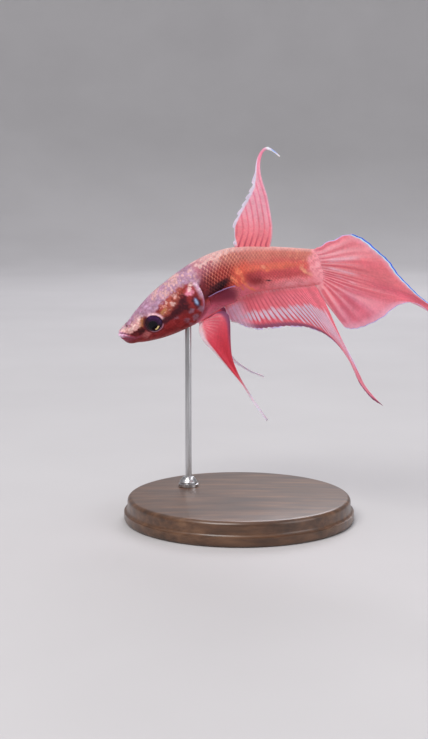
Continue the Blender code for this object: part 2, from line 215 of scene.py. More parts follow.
# Lips and grooves, in mm: how far they stand out, their height above the mouth's line and their width
LIP_FOLDS = (
    (-0.26, 0, 0.10), (0.14, 0.30, 0.20), (0.28, -0.46, 0.32), (-0.05, 0.66, 0.16), (-0.07, -1.15, 0.20),
)
NOSTRIL = (2.75, 1.15, 1.15)    # mm: behind the tip, outwards and up
EYE_RIM = 2.02              # mm from the eye's middle to the edge of its socket
SOCKET_DEPTH = 1.5
GILL_RISE = 0.24            # mm that the gill cover stands out at its rear edge


def about_eye(s, v):
    """Distance from the eye's middle in mm, and direction from it: 0 is tailwards, a quarter turn is up."""
    x, y = in_mm(s - EYE_PLACE[0]), in_mm(v - EYE_PLACE[2])
    return np.hypot(x, y), np.arctan2(y, x)


def above_mouth(s, v):
    """Height above the mouth's line, in mm."""
    return in_mm(v) - np.interp(in_mm(s), *np.transpose(MOUTH_LINE))


def eye_relief(s, v):
    """The eye's socket with its rim, and a groove and a fold below it."""
    away, turn = about_eye(s, v)
    below = rise(np.sin(turn), 0.3, -0.4)
    made = (0.15 + 0.10 * np.sin(turn)) * hump(away, EYE_RIM + 0.14, 0.17)
    made += (0.05 * hump(away, EYE_RIM + 0.80, 0.20) - 0.07 * hump(away, EYE_RIM + 0.50, 0.16)) * below
    return made - SOCKET_DEPTH * rise(away, EYE_RIM, EYE_RIM - 0.36)


def mouth_relief(s, v, degrees):
    """The lips, the chin and the fold behind the corner of the mouth."""
    x, above = in_mm(s), above_mouth(s, v)
    fade = rise(x, MOUTH_CORNER + 0.35, MOUTH_CORNER - 0.6)
    made = sum(height * hump(above, middle, width) for height, middle, width in LIP_FOLDS) * fade
    made += 0.17 * hump(above, -1.20, 0.60) * rise(x, 1.4, 0.3)
    made += 0.11 * hump(x, 4.2, 1.4) * rise(degrees, -34, -62)
    corner = np.hypot(x - MOUTH_CORNER - 0.1, in_mm(v) + 1.9)
    return made - 0.07 * hump(corner, 0.85, 0.12) * rise(x, MOUTH_CORNER, MOUTH_CORNER + 0.5)


def nostril_relief(s, u, v):
    """A pit with a raised rim."""
    places = (in_mm(s), np.abs(in_mm(u)), in_mm(v))
    away = np.sqrt(sum((at - middle) ** 2 for at, middle in zip(places, NOSTRIL)))
    return 0.07 * hump(away, 0.27, 0.09) - 0.24 * hump(away, 0, 0.14)


def gill_relief(s, angle, degrees):
    """The bones of the cheek and the gill cover, and the folds of the throat."""
    behind_cheek = in_mm(s - 0.243 - 0.020 * ((degrees + 18) / 40) ** 2)
    cheek = rise(degrees, -70, -52) * rise(degrees, 22, 8)
    made = (0.05 * hump(behind_cheek, -0.45, 0.30) - 0.09 * hump(behind_cheek, 0, 0.14)) * cheek
    line = smooth_gill_line(angle)
    cover = rise(s, 0.25, line - 0.01) * (s <= line) * gill_free(angle)
    made += (GILL_RISE - 0.06 * hump(in_mm(line - 0.018 - s), 0, 0.16)) * cover
    made -= 0.05 * hump(degrees + 34 + 120 * (s - 0.28), 0, 3.5) * rise(s, 0.26, 0.29) * rise(s, 0.375, 0.35)
    throat = rise(degrees, -58, -66) * rise(s, 0.12, 0.16) * rise(s, 0.30, 0.26)
    return made - 0.05 * throat * np.cos(np.radians(degrees + 90) * 20)


def relief(s, angle):
    """How far the skin stands out from the plain body, in mm."""
    u, v = section(s, angle)
    degrees, on_side = side_degrees(angle), rise(np.abs(np.cos(angle)), 0.25, 0.5)
    made = eye_relief(s, v) * on_side + mouth_relief(s, v, degrees)
    return made + nostril_relief(s, u, v) + gill_relief(s, angle, degrees)


def unit(vectors):
    return vectors / (np.linalg.norm(vectors, axis=-1, keepdims=True) + 1e-15)


def surface(s, angle, out):
    """World points of the skin, raised by out millimetres, with the millimetres as a number or an array."""
    s, angle = np.broadcast_arrays(np.asarray(s, float), angle)
    small_s, small_angle = 0.0006, 0.01
    near = np.maximum(s - small_s, FIRST_PLACE)
    along = place(s + small_s, *section(s + small_s, angle)) - place(near, *section(near, angle))
    round_it = place(s, *section(s, angle + small_angle)) - place(s, *section(s, angle - small_angle))
    height = (relief(s, angle) + out) * MM - COAT
    return place(s, *section(s, angle)) + unit(np.cross(along, round_it)) * height[..., None]


# --- meshes --------------------------------------------------------------------------------------------


def grid_faces(rows, columns, closed=False):
    """Corner numbers of the quads of a grid of points. A closed grid joins its last column to its first."""
    i, j = np.meshgrid(np.arange(rows - 1), np.arange(columns if closed else columns - 1), indexing="ij")
    k = (j + 1) % columns
    corners = (i * columns + j, i * columns + k, (i + 1) * columns + k, (i + 1) * columns + j)
    return np.stack(corners, axis=-1).reshape(-1, 4)


def end_caps(rows, columns):
    """Corner numbers of the quads that close the first and the last row of a closed grid."""
    k = np.arange(columns // 2 - 1)
    cap = np.stack([k, k + 1, columns - 2 - k, columns - 1 - k], axis=-1)
    return cap[:, ::-1], cap + (rows - 1) * columns


def capped_grid(rows, columns):
    return np.concatenate([grid_faces(rows, columns, closed=True), *end_caps(rows, columns)])


def add_piece(name, points, faces, tint, finish, corner_uv):
    """A smooth mesh of quads, with a colour for each point and a place on its bake map for each corner."""
    mesh = bpy.data.meshes.new(name)
    points, faces = points.reshape(-1, 3), faces.reshape(-1, 4)
    mesh.vertices.add(len(points))
    mesh.vertices.foreach_set("co", points.astype(np.float32).ravel())
    mesh.loops.add(faces.size)
    mesh.loops.foreach_set("vertex_index", faces.astype(np.int32).ravel())
    mesh.polygons.add(len(faces))
    mesh.polygons.foreach_set("loop_start", np.arange(0, faces.size, 4, dtype=np.int32))
    mesh.update(calc_edges=True)
    mesh.shade_smooth()
    colours = np.concatenate([tint.reshape(-1, 3), np.ones((len(points), 1))], axis=1)
    painted_on = mesh.attributes.new("tint", "FLOAT_COLOR", "POINT")
    painted_on.data.foreach_set("color", colours.astype(np.float32).ravel())
    layer = mesh.uv_layers.new(name="OFBake")
    layer.uv.foreach_set("vector", corner_uv.astype(np.float32).ravel())
    mesh.materials.append(finish)
    obj = bpy.data.objects.new(name, mesh)
    bpy.context.scene.collection.objects.link(obj)
    return obj


def grid_uv(rows, columns, low=(0.01, 0.01), high=(0.99, 0.99), closed=False):
    """Corner places on the bake map for a grid of points, spread over a rectangle."""
    i, j = np.meshgrid(np.arange(rows - 1), np.arange(columns if closed else columns - 1), indexing="ij")
    span = columns if closed else columns - 1
    corners = ((i, j), (i, j + 1), (i + 1, j + 1), (i + 1, j))
    pairs = [np.stack([a / (rows - 1), b / span], axis=-1) for a, b in corners]
    made = np.stack(pairs, axis=2).reshape(-1, 4, 2)
    return np.array(low) + made * (np.array(high) - np.array(low))


def mix(first, second, share):
    """Colours between two, with a share for each point."""
    share = np.asarray(share, float)[..., None]
    return np.asarray(first) * (1 - share) + np.asarray(second) * share


def painted(made, *layers):
    """Colours with layers laid over them in turn. A layer is a colour and its share at each point."""
    for colour, share in layers:
        made = mix(made, colour, share)
    return made


def cloud(x, y, z, seed=0):
    """Smooth noise from 0 to 1 through space, with one bump for each unit."""
    at = np.stack(np.broadcast_arrays(x, y, z), axis=-1)
    whole = np.floor(at)
    part = ease(at - whole)
    made = 0.0
    for corner in itertools.product((0, 1), repeat=3):
        value = np.sin((whole + corner) @ np.array((127.1, 311.7, 74.7)) + 5.3 * seed) * 43758.5453
        made = made + (value - np.floor(value)) * np.prod(np.where(corner, part, 1 - part), axis=-1)
    return made


def speckle(here, size, seed=0):
    """Noise over the body, from places (s, u, v), with bumps of a size in mm."""
    return cloud(*(in_mm(axis) / size for axis in here), seed)


# --- markings, with painted light and shade ------------------------------------------------------------

LIP = (0.74, 0.31, 0.52)
MUZZLE_DARK = (0.050, 0.002, 0.005)
CREAM = (0.76, 0.42, 0.40)
PALE_CREAM = (0.97, 0.68, 0.64)
YELLOW = (0.62, 0.38, 0.13)
MAUVE = (0.44, 0.24, 0.35)
LAVENDER = (0.62, 0.42, 0.60)
DARK = (0.070, 0.008, 0.016)
NEAR_BLACK = (0.022, 0.004, 0.012)
CRIMSON = (0.25, 0.018, 0.022)
SALMON = (0.56, 0.17, 0.17)
ORANGE = (0.44, 0.10, 0.07)
PINK = (0.98, 0.32, 0.44)
GILL_PINK = (0.60, 0.26, 0.42)
BLUE_WHITE = (0.46, 0.62, 0.92)
SLATE = (0.16, 0.14, 0.30)
DULL_BLUE = (0.34, 0.17, 0.24)
SHOULDER = (0.41, 0.13, 0.18)
TAN = (0.50, 0.155, 0.135)
FLANK = (0.42, 0.045, 0.045)
FLANK_ORANGE = (0.78, 0.12, 0.08)
CORAL = (0.74, 0.12, 0.12)
BELLY_RED = (0.95, 0.230, 0.350)
BELLY_CORAL = (0.92, 0.19, 0.22)
STRIPE = (0.30, 0.028, 0.038)
DUSTY = (0.60, 0.08, 0.10)
TAIL_PINK = (0.90, 0.34, 0.40)
GOLD = (0.88, 0.37, 0.24)
FLECK_ORANGE = (0.98, 0.25, 0.14)


def patch(s, v, at, size, lean=0, soft=0.35):
    """1 inside an ellipse on the side of the fish, 0 outside, with a soft border. Lean is in degrees."""
    c, d = math.cos(math.radians(lean)), math.sin(math.radians(lean))
    x, y = s - at[0], v - at[1]
    along, across = x * c + y * d, y * c - x * d
    return rise(np.hypot(along / size[0], across / size[1]), 1 + soft, 1 - soft)


def body_height(s, v):
    """0 at the belly and 1 at the back."""
    _, top, bottom, _ = station(s)
    return (v - bottom) / (top - bottom)


# Height above which the head is mauve, by s
CROWN_LINE = (
    (0.02, 0.014), (0.06, 0.018), (0.10, 0.028), (0.13, 0.029), (0.17, 0.026), (0.205, 0.032), (0.25, 0.052),
    (0.33, 0.066), (0.40, 0.062),
)

# Marks of the head, painted in this order: colour, place (s, v), half sizes, lean, how broken up, strength
HEAD_MARKS = (
    (SALMON, (0.108, -0.047), (0.022, 0.018), 20, 0.3, 0.8),
    (CREAM, (0.054, 0.004), (0.040, 0.013), -4, 0.3, 0.95),
    (CREAM, (0.100, 0.018), (0.028, 0.014), 46, 0.3, 0.9),
    (YELLOW, (0.120, 0.013), (0.028, 0.013), 46, 0.5, 0.32),
    # The next three marks are painted highlights on the pale muzzle
    (PALE_CREAM, (0.024, 0.014), (0.014, 0.007), 20, 0.4, 0.8),
    (PALE_CREAM, (0.078, 0.012), (0.015, 0.008), 20, 0.4, 0.9),
    (PALE_CREAM, (0.054, 0.005), (0.011, 0.006), -20, 0.4, 0.7),
    (PALE_CREAM, (0.116, 0.033), (0.016, 0.007), 40, 0.5, 0.7),
    (ORANGE, (0.268, 0.028), (0.080, 0.021), 24, 0.2, 1.0),
    (YELLOW, (0.225, 0.012), (0.018, 0.008), 20, 0.5, 0.5),
    (CREAM, (0.300, 0.050), (0.010, 0.010), 0, 0.5, 0.8),
    (PALE_CREAM, (0.277, 0.026), (0.007, 0.008), 0, 0.4, 0.8),
    (PALE_CREAM, (0.256, 0.042), (0.006, 0.006), 0, 0.4, 0.7),
    (CREAM, (0.226, 0.084), (0.024, 0.012), 30, 0.8, 0.7),
    (CREAM, (0.262, 0.076), (0.020, 0.011), 30, 0.8, 0.6),
    (CREAM, (0.330, 0.100), (0.024, 0.012), 20, 0.7, 0.8),
    (DARK, (0.226, -0.024), (0.048, 0.014), 8, 0.15, 1.0),
    (DARK, (0.276, -0.013), (0.034, 0.021), 16, 0.36, 1.0),
    (DARK, (0.313, -0.003), (0.026, 0.036), 10, 0.42, 1.0),
    (DARK, (0.331, 0.024), (0.014, 0.020), 20, 0.5, 0.85),
    (MUZZLE_DARK, (0.082, -0.022), (0.036, 0.014), -8, 0.3, 0.86),
    (MUZZLE_DARK, (0.102, -0.016), (0.017, 0.014), 50, 0.3, 0.80),
    (DARK, (0.369, -0.022), (0.017, 0.030), -6, 0.1, 0.95),
    (SLATE, (0.369, -0.021), (0.0085, 0.019), -6, 0.0, 0.95),
    (BLUE_WHITE, (0.369, -0.019), (0.0050, 0.0135), -6, 0.0, 1.0),
    (DULL_BLUE, (0.374, -0.064), (0.014, 0.019), 10, 0.2, 0.85),
    (DULL_BLUE, (0.334, -0.087), (0.013, 0.015), 0, 0.2, 0.85),
    (DULL_BLUE, (0.329, -0.049), (0.010, 0.012), 0, 0.2, 0.85),
    (DULL_BLUE, (0.291, -0.079), (0.011, 0.012), 20, 0.3, 0.6),
    (DULL_BLUE, (0.257, -0.040), (0.009, 0.007), 0, 0.3, 0.5),
    (DULL_BLUE, (0.300, -0.106), (0.011, 0.010), 0, 0.3, 0.5),
    (PALE_CREAM, (0.388, 0.055), (0.014, 0.008), 10, 0.6, 0.8),
    (PINK, (0.365, 0.032), (0.018, 0.015), 0, 0.1, 1.0),
    (PALE_CREAM, (0.372, 0.041), (0.008, 0.006), 0, 0.1, 0.9),
)


def eye_layers(s, v):
    """The dark skin before the eye, and the pink rim over and under it."""
    away, turn = about_eye(s, v)
    before = rise(away, EYE_RIM + 0.85, EYE_RIM + 0.25) * rise(np.cos(turn - 2.85), 0.35, 0.75)
    over = hump(away, EYE_RIM + 0.30, 0.32) * rise(np.cos(turn - 0.9), 0.50, 0.85)
    under = hump(away, EYE_RIM + 0.10, 0.14) * rise(np.cos(turn + 1.4), 0.5, 0.85)
    return (DARK, before * 0.95), ((0.88, 0.54, 0.62), over * 0.95), ((0.62, 0.30, 0.42), under)


def mouth_layers(s, v, uneven_s, uneven_v, here):
    """The jaw, the lips with the line between them, and the nostrils."""
    above = above_mouth(s, v)
    jaw = rise(uneven_s, 0.115, 0.050) * rise(above, -0.1, -0.4) * rise(uneven_v, -0.056, -0.040)
    lips = rise(uneven_s, 0.050, 0.010) * rise(above, 0.55, 0.15) * rise(above, -1.3, -0.6)
    tip = rise(s, 0.022, 0.008) * rise(above, 0.2, -0.1) * rise(above, -1.3, -0.7)
    nose = np.hypot(in_mm(s) - NOSTRIL[0], in_mm(v) - NOSTRIL[2])
    return (
        ((0.33, 0.07, 0.12), jaw * 0.75),
        (mix(LIP, (0.90, 0.52, 0.74), rise(speckle(here, 0.5, 9), 0.4, 0.7)), lips),
        # painted highlight on the tip of the lips
        ((0.98, 0.70, 0.90), tip * 0.7),
        # painted shade in the groove between the lips
        ((0.26, 0.035, 0.08), hump(above, 0, 0.10) * rise(s, 0.050, 0.036) * 0.8),
        # painted shade in the pit of each nostril
        (DARK, rise(nose, 0.26, 0.10) * 0.9),
    )


def head_tint(s, u, v, angle):
    degrees, here = side_degrees(angle), (s, u, v)
    coarse = [speckle(here, 1.1, seed) - 0.5 for seed in (1, 2)]
    fine = [speckle(here, 0.40, seed) - 0.5 for seed in (3, 4)]
    uneven_s, uneven_v = (at + 0.010 * big + 0.012 * small for at, big, small in zip((s, v), coarse, fine))
    above = uneven_v - np.interp(s, *np.transpose(CROWN_LINE))
    crown = rise(above, -0.010, 0.010) * rise(degrees + 160 * rise(s, 0.14, 0.05), 14, 34)
    made = painted(
        mix(CRIMSON, (0.36, 0.034, 0.036), speckle(here, 0.8, 5)),
        (mix(MAUVE, LAVENDER, 0.7 * rise(speckle(here, 0.55, 6), 0.5, 0.9)), crown),
        ((0.72, 0.42, 0.38), 0.8 * crown * rise(speckle(here, 0.48, 7), 0.60, 0.82) * rise(s, 0.16, 0.26)),
        ((0.32, 0.12, 0.20), 0.4 * crown * rise(speckle(here, 0.45, 8), 0.60, 0.85)),
    )
    for k, (colour, at, size, lean, broken, strength) in enumerate(HEAD_MARKS):
        gaps = 1 - broken * rise(speckle(here, 0.42, 20 + k), 0.45, 0.75)
        where = (uneven_s, uneven_v) if broken else (s, v)
        made = mix(made, colour, strength * gaps * patch(*where, at, size, lean, 0.45))
    orange = 0.7 * patch(s, v, (0.262, 0.032), (0.085, 0.026), 22, 0.4)
    from_line = in_mm(smooth_gill_line(angle) - s)
    rim = hump(from_line, 0.15, 0.34) * gill_free(angle) * rise(degrees, -50, -12)
    corner = rise(from_line, 1.5, 0.4) * rise(degrees, -8, 4) * rise(degrees, 38, 28)
    made = painted(
        made,
        ((0.82, 0.36, 0.30), orange * rise(speckle(here, 0.36, 11), 0.62, 0.80)),
        ((0.24, 0.028, 0.028), orange * rise(speckle(here, 0.36, 12), 0.60, 0.80)),
        *eye_layers(s, v),
        *mouth_layers(s, v, uneven_s, uneven_v, here),
        (GILL_PINK, rim * 0.9),
        (mix((0.74, 0.46, 0.62), (0.92, 0.72, 0.82), rise(fine[0], 0, 0.2)), corner * 0.85),
    )
    return made * (1 + 0.45 * fine[1] + 0.30 * coarse[0])[..., None]


BLACK_PATCH = (0.490, -0.014), (0.088, 0.021)    # place and half sizes of the patch behind the gill cover
# Place, half sizes and strength of the light flecks ahead of the tail fin, and of one nearer the middle
LIGHT_FLECKS = (
    ((0.928, 0.016), (0.012, 0.007), 0.7), ((0.946, 0.002), (0.013, 0.007), 0.9),
    ((0.965, -0.010), (0.010, 0.007), 0.6), ((0.752, 0.036), (0.010, 0.008), 0.6),
)
# Place and half sizes of the bright flecks behind the black patch
ORANGE_FLECKS = (
    ((0.592, -0.004), (0.009, 0.018)), ((0.608, -0.026), (0.009, 0.020)), ((0.622, -0.056), (0.008, 0.014)),
    ((0.622, 0.028), (0.009, 0.018)), ((0.634, 0.008), (0.009, 0.024)), ((0.643, -0.022), (0.009, 0.020)),
    ((0.654, -0.046), (0.009, 0.018)), ((0.668, -0.066), (0.012, 0.010)), ((0.770, 0.020), (0.010, 0.010)),
)


def trunk_tint(s, u, v, angle):
    height, here = body_height(s, v), (s, u, v)
    rear = rise(s, 0.50, 0.66)
    coarse, fine = speckle(here, 1.5, 1) - 0.5, speckle(here, 0.5, 2) - 0.5
    uneven = s + 0.020 * coarse, v + 0.012 * (speckle(here, 1.2, 3) - 0.5)
    belly = mix(BELLY_RED, BELLY_CORAL, rise(s, 0.54, 0.72))
    flank = mix(FLANK, FLANK_ORANGE, rise(uneven[0] - 0.4 * (v - 0.02), 0.565, 0.625))
    flank = mix(flank, CORAL, rise(s, 0.64, 0.78))
    back = mix(mix(SHOULDER, TAN, rise(s, 0.46, 0.60)), (0.58, 0.17, 0.14), rise(s, 0.66, 0.80))
    # Flecks of painted highlight along the top of the back
    top_glint_fleck = rise(speckle(here, 0.75, 5), 0.52, 0.68) * rise(height, 0.80, 0.93) * rise(s, 0.72, 0.56)
    past_gill = in_mm(s - smooth_gill_line(angle))
    fleck = rise(speckle((s * 1.6, u, v), 0.55, 4), 0.60, 0.80)
    tail_base = rise(s - 0.30 * np.abs(v - 0.008) + 0.03 * coarse, 0.945, 0.985)
    tail_dots = tail_base * rise(fine, -0.10, 0.35) * patch(s, v, (0.985, 0.008), (0.04, 0.045), 0, 0.6)
    rear_band = patch(s, uneven[1], (0.885, -0.048), (0.11, 0.020), 6, 0.9)
    made = painted(
        mix(belly, flank, rise(height + 0.08 * coarse, 0.20 - 0.08 * rear, 0.36 + 0.06 * rear)),
        (back, rise(height + 0.1 * coarse, 0.66 - 0.06 * rear, 0.86)),
        # a band of painted highlight along the top of the back
        ((0.72, 0.46, 0.46), 0.8 * rise(height, 0.90, 1.0) * (1 - 0.35 * rise(s, 0.6, 0.7))),
        (SHOULDER, rise(s, 0.50, 0.42) * rise(height, 0.55, 0.75) * 0.8),
        ((0.86, 0.58, 0.54), top_glint_fleck * 0.6),
        (NEAR_BLACK, patch(*uneven, *BLACK_PATCH, 8, 0.45) * 0.97),
        ((0.12, 0.014, 0.022), patch(s, v, (0.445, 0.012), (0.060, 0.045), 20, 0.6) * 0.8),
        *((FLECK_ORANGE, patch(*uneven, *fleck_at, 8) * (0.5 + 0.5 * rise(fine, -0.1, 0.1)))
          for fleck_at in ORANGE_FLECKS),
        (STRIPE, patch(*uneven, (0.704, -0.018), (0.048, 0.031), -10, 0.7)),
        (DUSTY, patch(*uneven, (0.83, -0.003), (0.125, 0.018), -1, 0.5) * 0.9),
        ((0.98, 0.36, 0.42), rear_band * np.clip(0.65 + 0.6 * fine, 0, 1)),
        # painted shade on the front of the belly, under the gill cover and the pectoral fin
        ((0.34, 0.026, 0.055), patch(s, v, (0.480, -0.096), (0.080, 0.036), 0, 0.7) * 0.55),
        # painted shadow that the gill cover's lower edge casts on the red belly behind it
        ((0.20, 0.014, 0.034), rise(past_gill, 3.2, 0.8) * rise(v, -0.045, -0.080) * 0.7),
        ((0.80, 0.18, 0.11), patch(*uneven, (0.80, 0.034), (0.13, 0.014), 0, 0.6) * 0.7),
        (GOLD, fleck * patch(s, v, (0.935, 0.050), (0.065, 0.050), 0, 0.6) * 0.4),
        *((GOLD, patch(*uneven, at, size, -32, 0.5) * strength) for at, size, strength in LIGHT_FLECKS),
        ((0.96, 0.36, 0.43), tail_base * np.clip(0.8 + 0.3 * fine, 0, 1)),
        (PALE_CREAM, tail_dots * 0.18),
        (NEAR_BLACK, patch(s, v, (0.763, -0.029), (0.013, 0.0038), -4, 0.4) * 0.95),
    )
    return made * (1.15 + 0.25 * fine + 0.15 * coarse)[..., None]


def body_tint(s, angle):
    """The fish's colour on its body with some painted light and shade, the same for skin and scales."""
    s, angle = np.broadcast_arrays(np.asarray(s, float), angle)
    u, v = section(s, angle)
    on_trunk = rise(in_mm(s - smooth_gill_line(angle)), -0.05, 0.12 + 2.2 * (1 - gill_free(angle)))
    return mix(head_tint(s, u, v, angle), trunk_tint(s, u, v, angle), on_trunk)


# --- finishes ------------------------------------------------------------------------------------------


def feed(tree, made, inputs):
    """Gives a node's inputs a value each, or a link where the value is a socket."""
    for key, value in inputs.items():
        if isinstance(value, bpy.types.NodeSocket):
            tree.links.new(value, made.inputs[key])
        else:
            made.inputs[key].default_value = value


def node(tree, kind, inputs, **settings):
    made = tree.nodes.new("ShaderNode" + kind)
    for key, value in settings.items():
        setattr(made, key, value)
    feed(tree, made, inputs)
    return made


def ramp(tree, factor, *stops):
    made = node(tree, "ValToRGB", {"Fac": factor})
    for k, (where, colour) in enumerate(stops):
        stop = made.color_ramp.elements[k] if k < 2 else made.color_ramp.elements.new(where)
        stop.position = where
        stop.color = (*colour, 1)
    return made.outputs["Color"]


def multiply(tree, first, second, share):
    values = {"Factor": share, "A": first, "B": second}
    return node(tree, "Mix", values, data_type="RGBA", blend_type="MULTIPLY").outputs["Result"]


def noise_on(tree, coordinates, scale, detail=4, roughness=0.55, stretch=None):
    if stretch:
        coordinates = node(tree, "Mapping", {"Vector": coordinates, "Scale": stretch}).outputs["Vector"]
    values = {"Vector": coordinates, "Scale": scale, "Detail": detail, "Roughness": roughness}
    return node(tree, "TexNoise", values).outputs["Fac"]


def spread(tree, factor, low, high):
    return node(tree, "MapRange", {"Value": factor, "To Min": low, "To Max": high}).outputs["Result"]


def bump(tree, height, strength, distance):
    values = {"Height": height, "Strength": strength, "Distance": distance}
    return node(tree, "Bump", values).outputs["Normal"]


def new_finish(name):
    """A material with its tree, its Principled shader and the coordinates of its object."""
    made = bpy.data.materials.new(name)
    made.use_nodes = True
    tree = made.node_tree
    return made, tree, tree.nodes["Principled BSDF"], node(tree, "TexCoord", {}).outputs["Object"]


def tinted_finish(name, rough, fleck_scale, fleck, grain_depth, uneven=0.08, **settings):
    """A finish for living tissue: the mesh's own tint, broken up by fine flecks, with a slight grain.

    Settings are inputs of the shader that differ from the usual ones.
    """
    made, tree, shader, where = new_finish(name)
    tint = node(tree, "Attribute", {}, attribute_name="tint").outputs["Color"]
    grain = noise_on(tree, where, fleck_scale)
    flecks = ramp(tree, grain, (0.30, (1 - fleck,) * 3), (0.62, (1.0,) * 3))
    values = {
        "Base Color": multiply(tree, tint, flecks, 1.0),
        "Roughness": spread(tree, grain, rough - uneven, rough + uneven),
        "Normal": bump(tree, noise_on(tree, where, fleck_scale * 2.5, 3), 0.35, grain_depth),
        "IOR": 1.30,
        "Coat IOR": 1.30,
        "Coat Weight": 0.0,
        "Coat Roughness": 0.22,
        "Subsurface Weight": 0.0,
        "Subsurface Radius": (1.0, 0.45, 0.35),
        "Subsurface Scale": 0.4 * MM,
    }
    feed(tree, shader, values | settings)
    return made


SKIN = tinted_finish("betta_skin", 0.42, 2600, 0.22, 0.03 * MM, **{"Subsurface Weight": 0.15})
SCALE = tinted_finish("betta_scale", 0.36, 3400, 0.16, 0.02 * MM, **{"Subsurface Weight": 0.08})
FIN = tinted_finish("betta_fin", 0.48, 2200, 0.12, 0.02 * MM, **{"Subsurface Weight": 0.25})
CLEAR_FIN = tinted_finish("betta_clear_fin", 0.42, 2200, 0.12, 0.02 * MM, Alpha=0.55)
WET = {"IOR": 1.22, "Coat IOR": 1.22, "Coat Weight": 0.5, "Coat Roughness": 0.03}
EYE = tinted_finish("betta_eye", 0.10, 5200, 0.10, 0.001 * MM, uneven=0.03, **WET)


# --- body ----------------------------------------------------------------------------------------------

RING = 216
RING_PLACE = 0.36           # s of the section that the ring's points are spread evenly round
FIRST_RING = 3e-5           # s of the first ring
HEAD_ROWS = 232
HEAD_CROWDING = 1.5         # the head's rings lie closer together towards the snout
TRUNK_ROWS = 150
TRUNK_START = 0.16 * MM / LENGTH    # share from the gill line to the trunk's first ring
# The rings that join head and trunk, in mm behind the gill line: where the gill cover is joined to the body,
# and where it is free, with the mm that they stand out there
JOINED_EDGE = (0.03, 0.06, 0.09, 0.12)
FREE_EDGE = ((0.09, -0.04), (0.10, -0.16), (-0.30, -0.40), (0.02, -0.46))
UNDER_COVER = (-0.24, 1.1)  # mm: height of the trunk under the cover's edge, and how soon that fades
CAP_UV = ((0.0095, 0.5), (0.9905, 0.5))     # places of the skin's end caps on the bake map


def tail_end(angle):
    return 1.004 + 0.034 * np.cos(angle) ** 2


def make_skin():
    """One closed skin of rings from snout to tail stalk, folded in under the edges of the gill covers."""
    angles = angle_at(RING_PLACE, (np.arange(RING) + 0.5) / RING)
    line, free = smooth_gill_line(angles), gill_free(angles)
    head_steps, trunk_steps = (np.linspace(0, 1, rows)[:, None] for rows in (HEAD_ROWS, TRUNK_ROWS))
    head = FIRST_RING + (line - FIRST_RING) * head_steps**HEAD_CROWDING
    joined = np.array(JOINED_EDGE)[:, None]
    behind, inwards = np.transpose(FREE_EDGE)[..., None]
    edge = line + ((1 - free) * joined + free * behind) * MM / LENGTH
    trunk = line + TRUNK_START + (tail_end(angles) - line - TRUNK_START) * trunk_steps
    # The rings of the edge hang from the cover, so they keep its rise
    kept_rise = relief(line, angles) - relief(edge, np.broadcast_to(angles, edge.shape))
    sunk, fading = UNDER_COVER
    under_cover = sunk * free * np.exp(-in_mm(trunk - line) / fading)
    out = np.concatenate([0 * head, free * inwards + kept_rise, under_cover])
    s = np.concatenate([head, edge, trunk])
    angles = np.broadcast_to(angles, s.shape)
    caps = end_caps(len(s), RING)
    cap_uv = [np.tile(at, (len(cap), 4, 1)) for at, cap in zip(CAP_UV, caps)]
    uv = np.concatenate([grid_uv(len(s), RING, closed=True), *cap_uv])
    faces = capped_grid(len(s), RING)
    points = surface(s, angles, out)
    return add_piece("skin", points, faces[:, ::-1], body_tint(s, angles), SKIN, uv[:, ::-1])


# --- scales --------------------------------------------------------------------------------------------

SCALE_ALONG = (-1.0, -0.5, -0.08, 0.16, 0.40, 0.62, 0.82, 1.0)    # points of a scale, from root to tip
SCALE_ACROSS = (-1.0, -0.75, -0.5, -0.25, 0.0, 0.25, 0.5, 0.75, 1.0)
SCALE_ROWS = 46             # rows round the body
PATCH = 0.0015              # half size of a scale's patch on the bake map
OVERLAP = (0.98, 1.12)      # half size of a scale along and across, in pitches of its rows
PROBE = 0.02                # angle over which the width of a step round the body is measured


def scale_grid():
    """The points of one scale on a disc: a towards the tail and b across, both from -1 to 1."""
    x, y = np.meshgrid(SCALE_ALONG, SCALE_ACROSS, indexing="ij")
    return x * np.sqrt(1 - y**2 / 2), y * np.sqrt(1 - x**2 / 2)


def make_scales(name, middles, half_sizes, lift, pattern):
    """Thin domed plates over the skin, from the middle (s, angle) and half size (mm) of each."""
    a, b = scale_grid()
    s0, angle0 = middles.T[..., None, None]
    length, width = half_sizes.T[..., None, None]
    u0, v0 = section(s0, angle0)
    u1, v1 = section(s0, angle0 + PROBE)
    s = np.clip(s0 + a * length * MM / LENGTH, 0.002, 1.035)
    angle = angle0 + b * width * (PROBE / in_mm(np.hypot(u1 - u0, v1 - v0)))
    # A scale rises towards its tip, is domed across and turns down at its rim
    rim = rise(np.hypot(a, b), 0.80, 1.0)
    out = lift * (0.42 + 0.62 * a) + 0.030 * (1 - b**2) - 0.055 * rim - 0.01
    one = grid_faces(*a.shape)
    faces = one[None] + (np.arange(len(middles)) * a.size)[:, None, None]
    corners = np.stack([a, b], axis=-1).reshape(-1, 2)[one]
    turns = (middles[:, 1] / (2 * math.pi) + 0.25) % 1
    uv_middle = np.stack([middles[:, 0] * 0.9 + 0.02, turns * 0.96 + 0.02], axis=-1)
    uv = (uv_middle[:, None, None, :] + corners[None] * PATCH).reshape(-1, 4, 2)
    tint = pattern(s, angle, a, b, s0, angle0)
    return add_piece(name, surface(s, angle, out), faces.reshape(-1, 4)[:, ::-1], tint, SCALE, uv[:, ::-1])


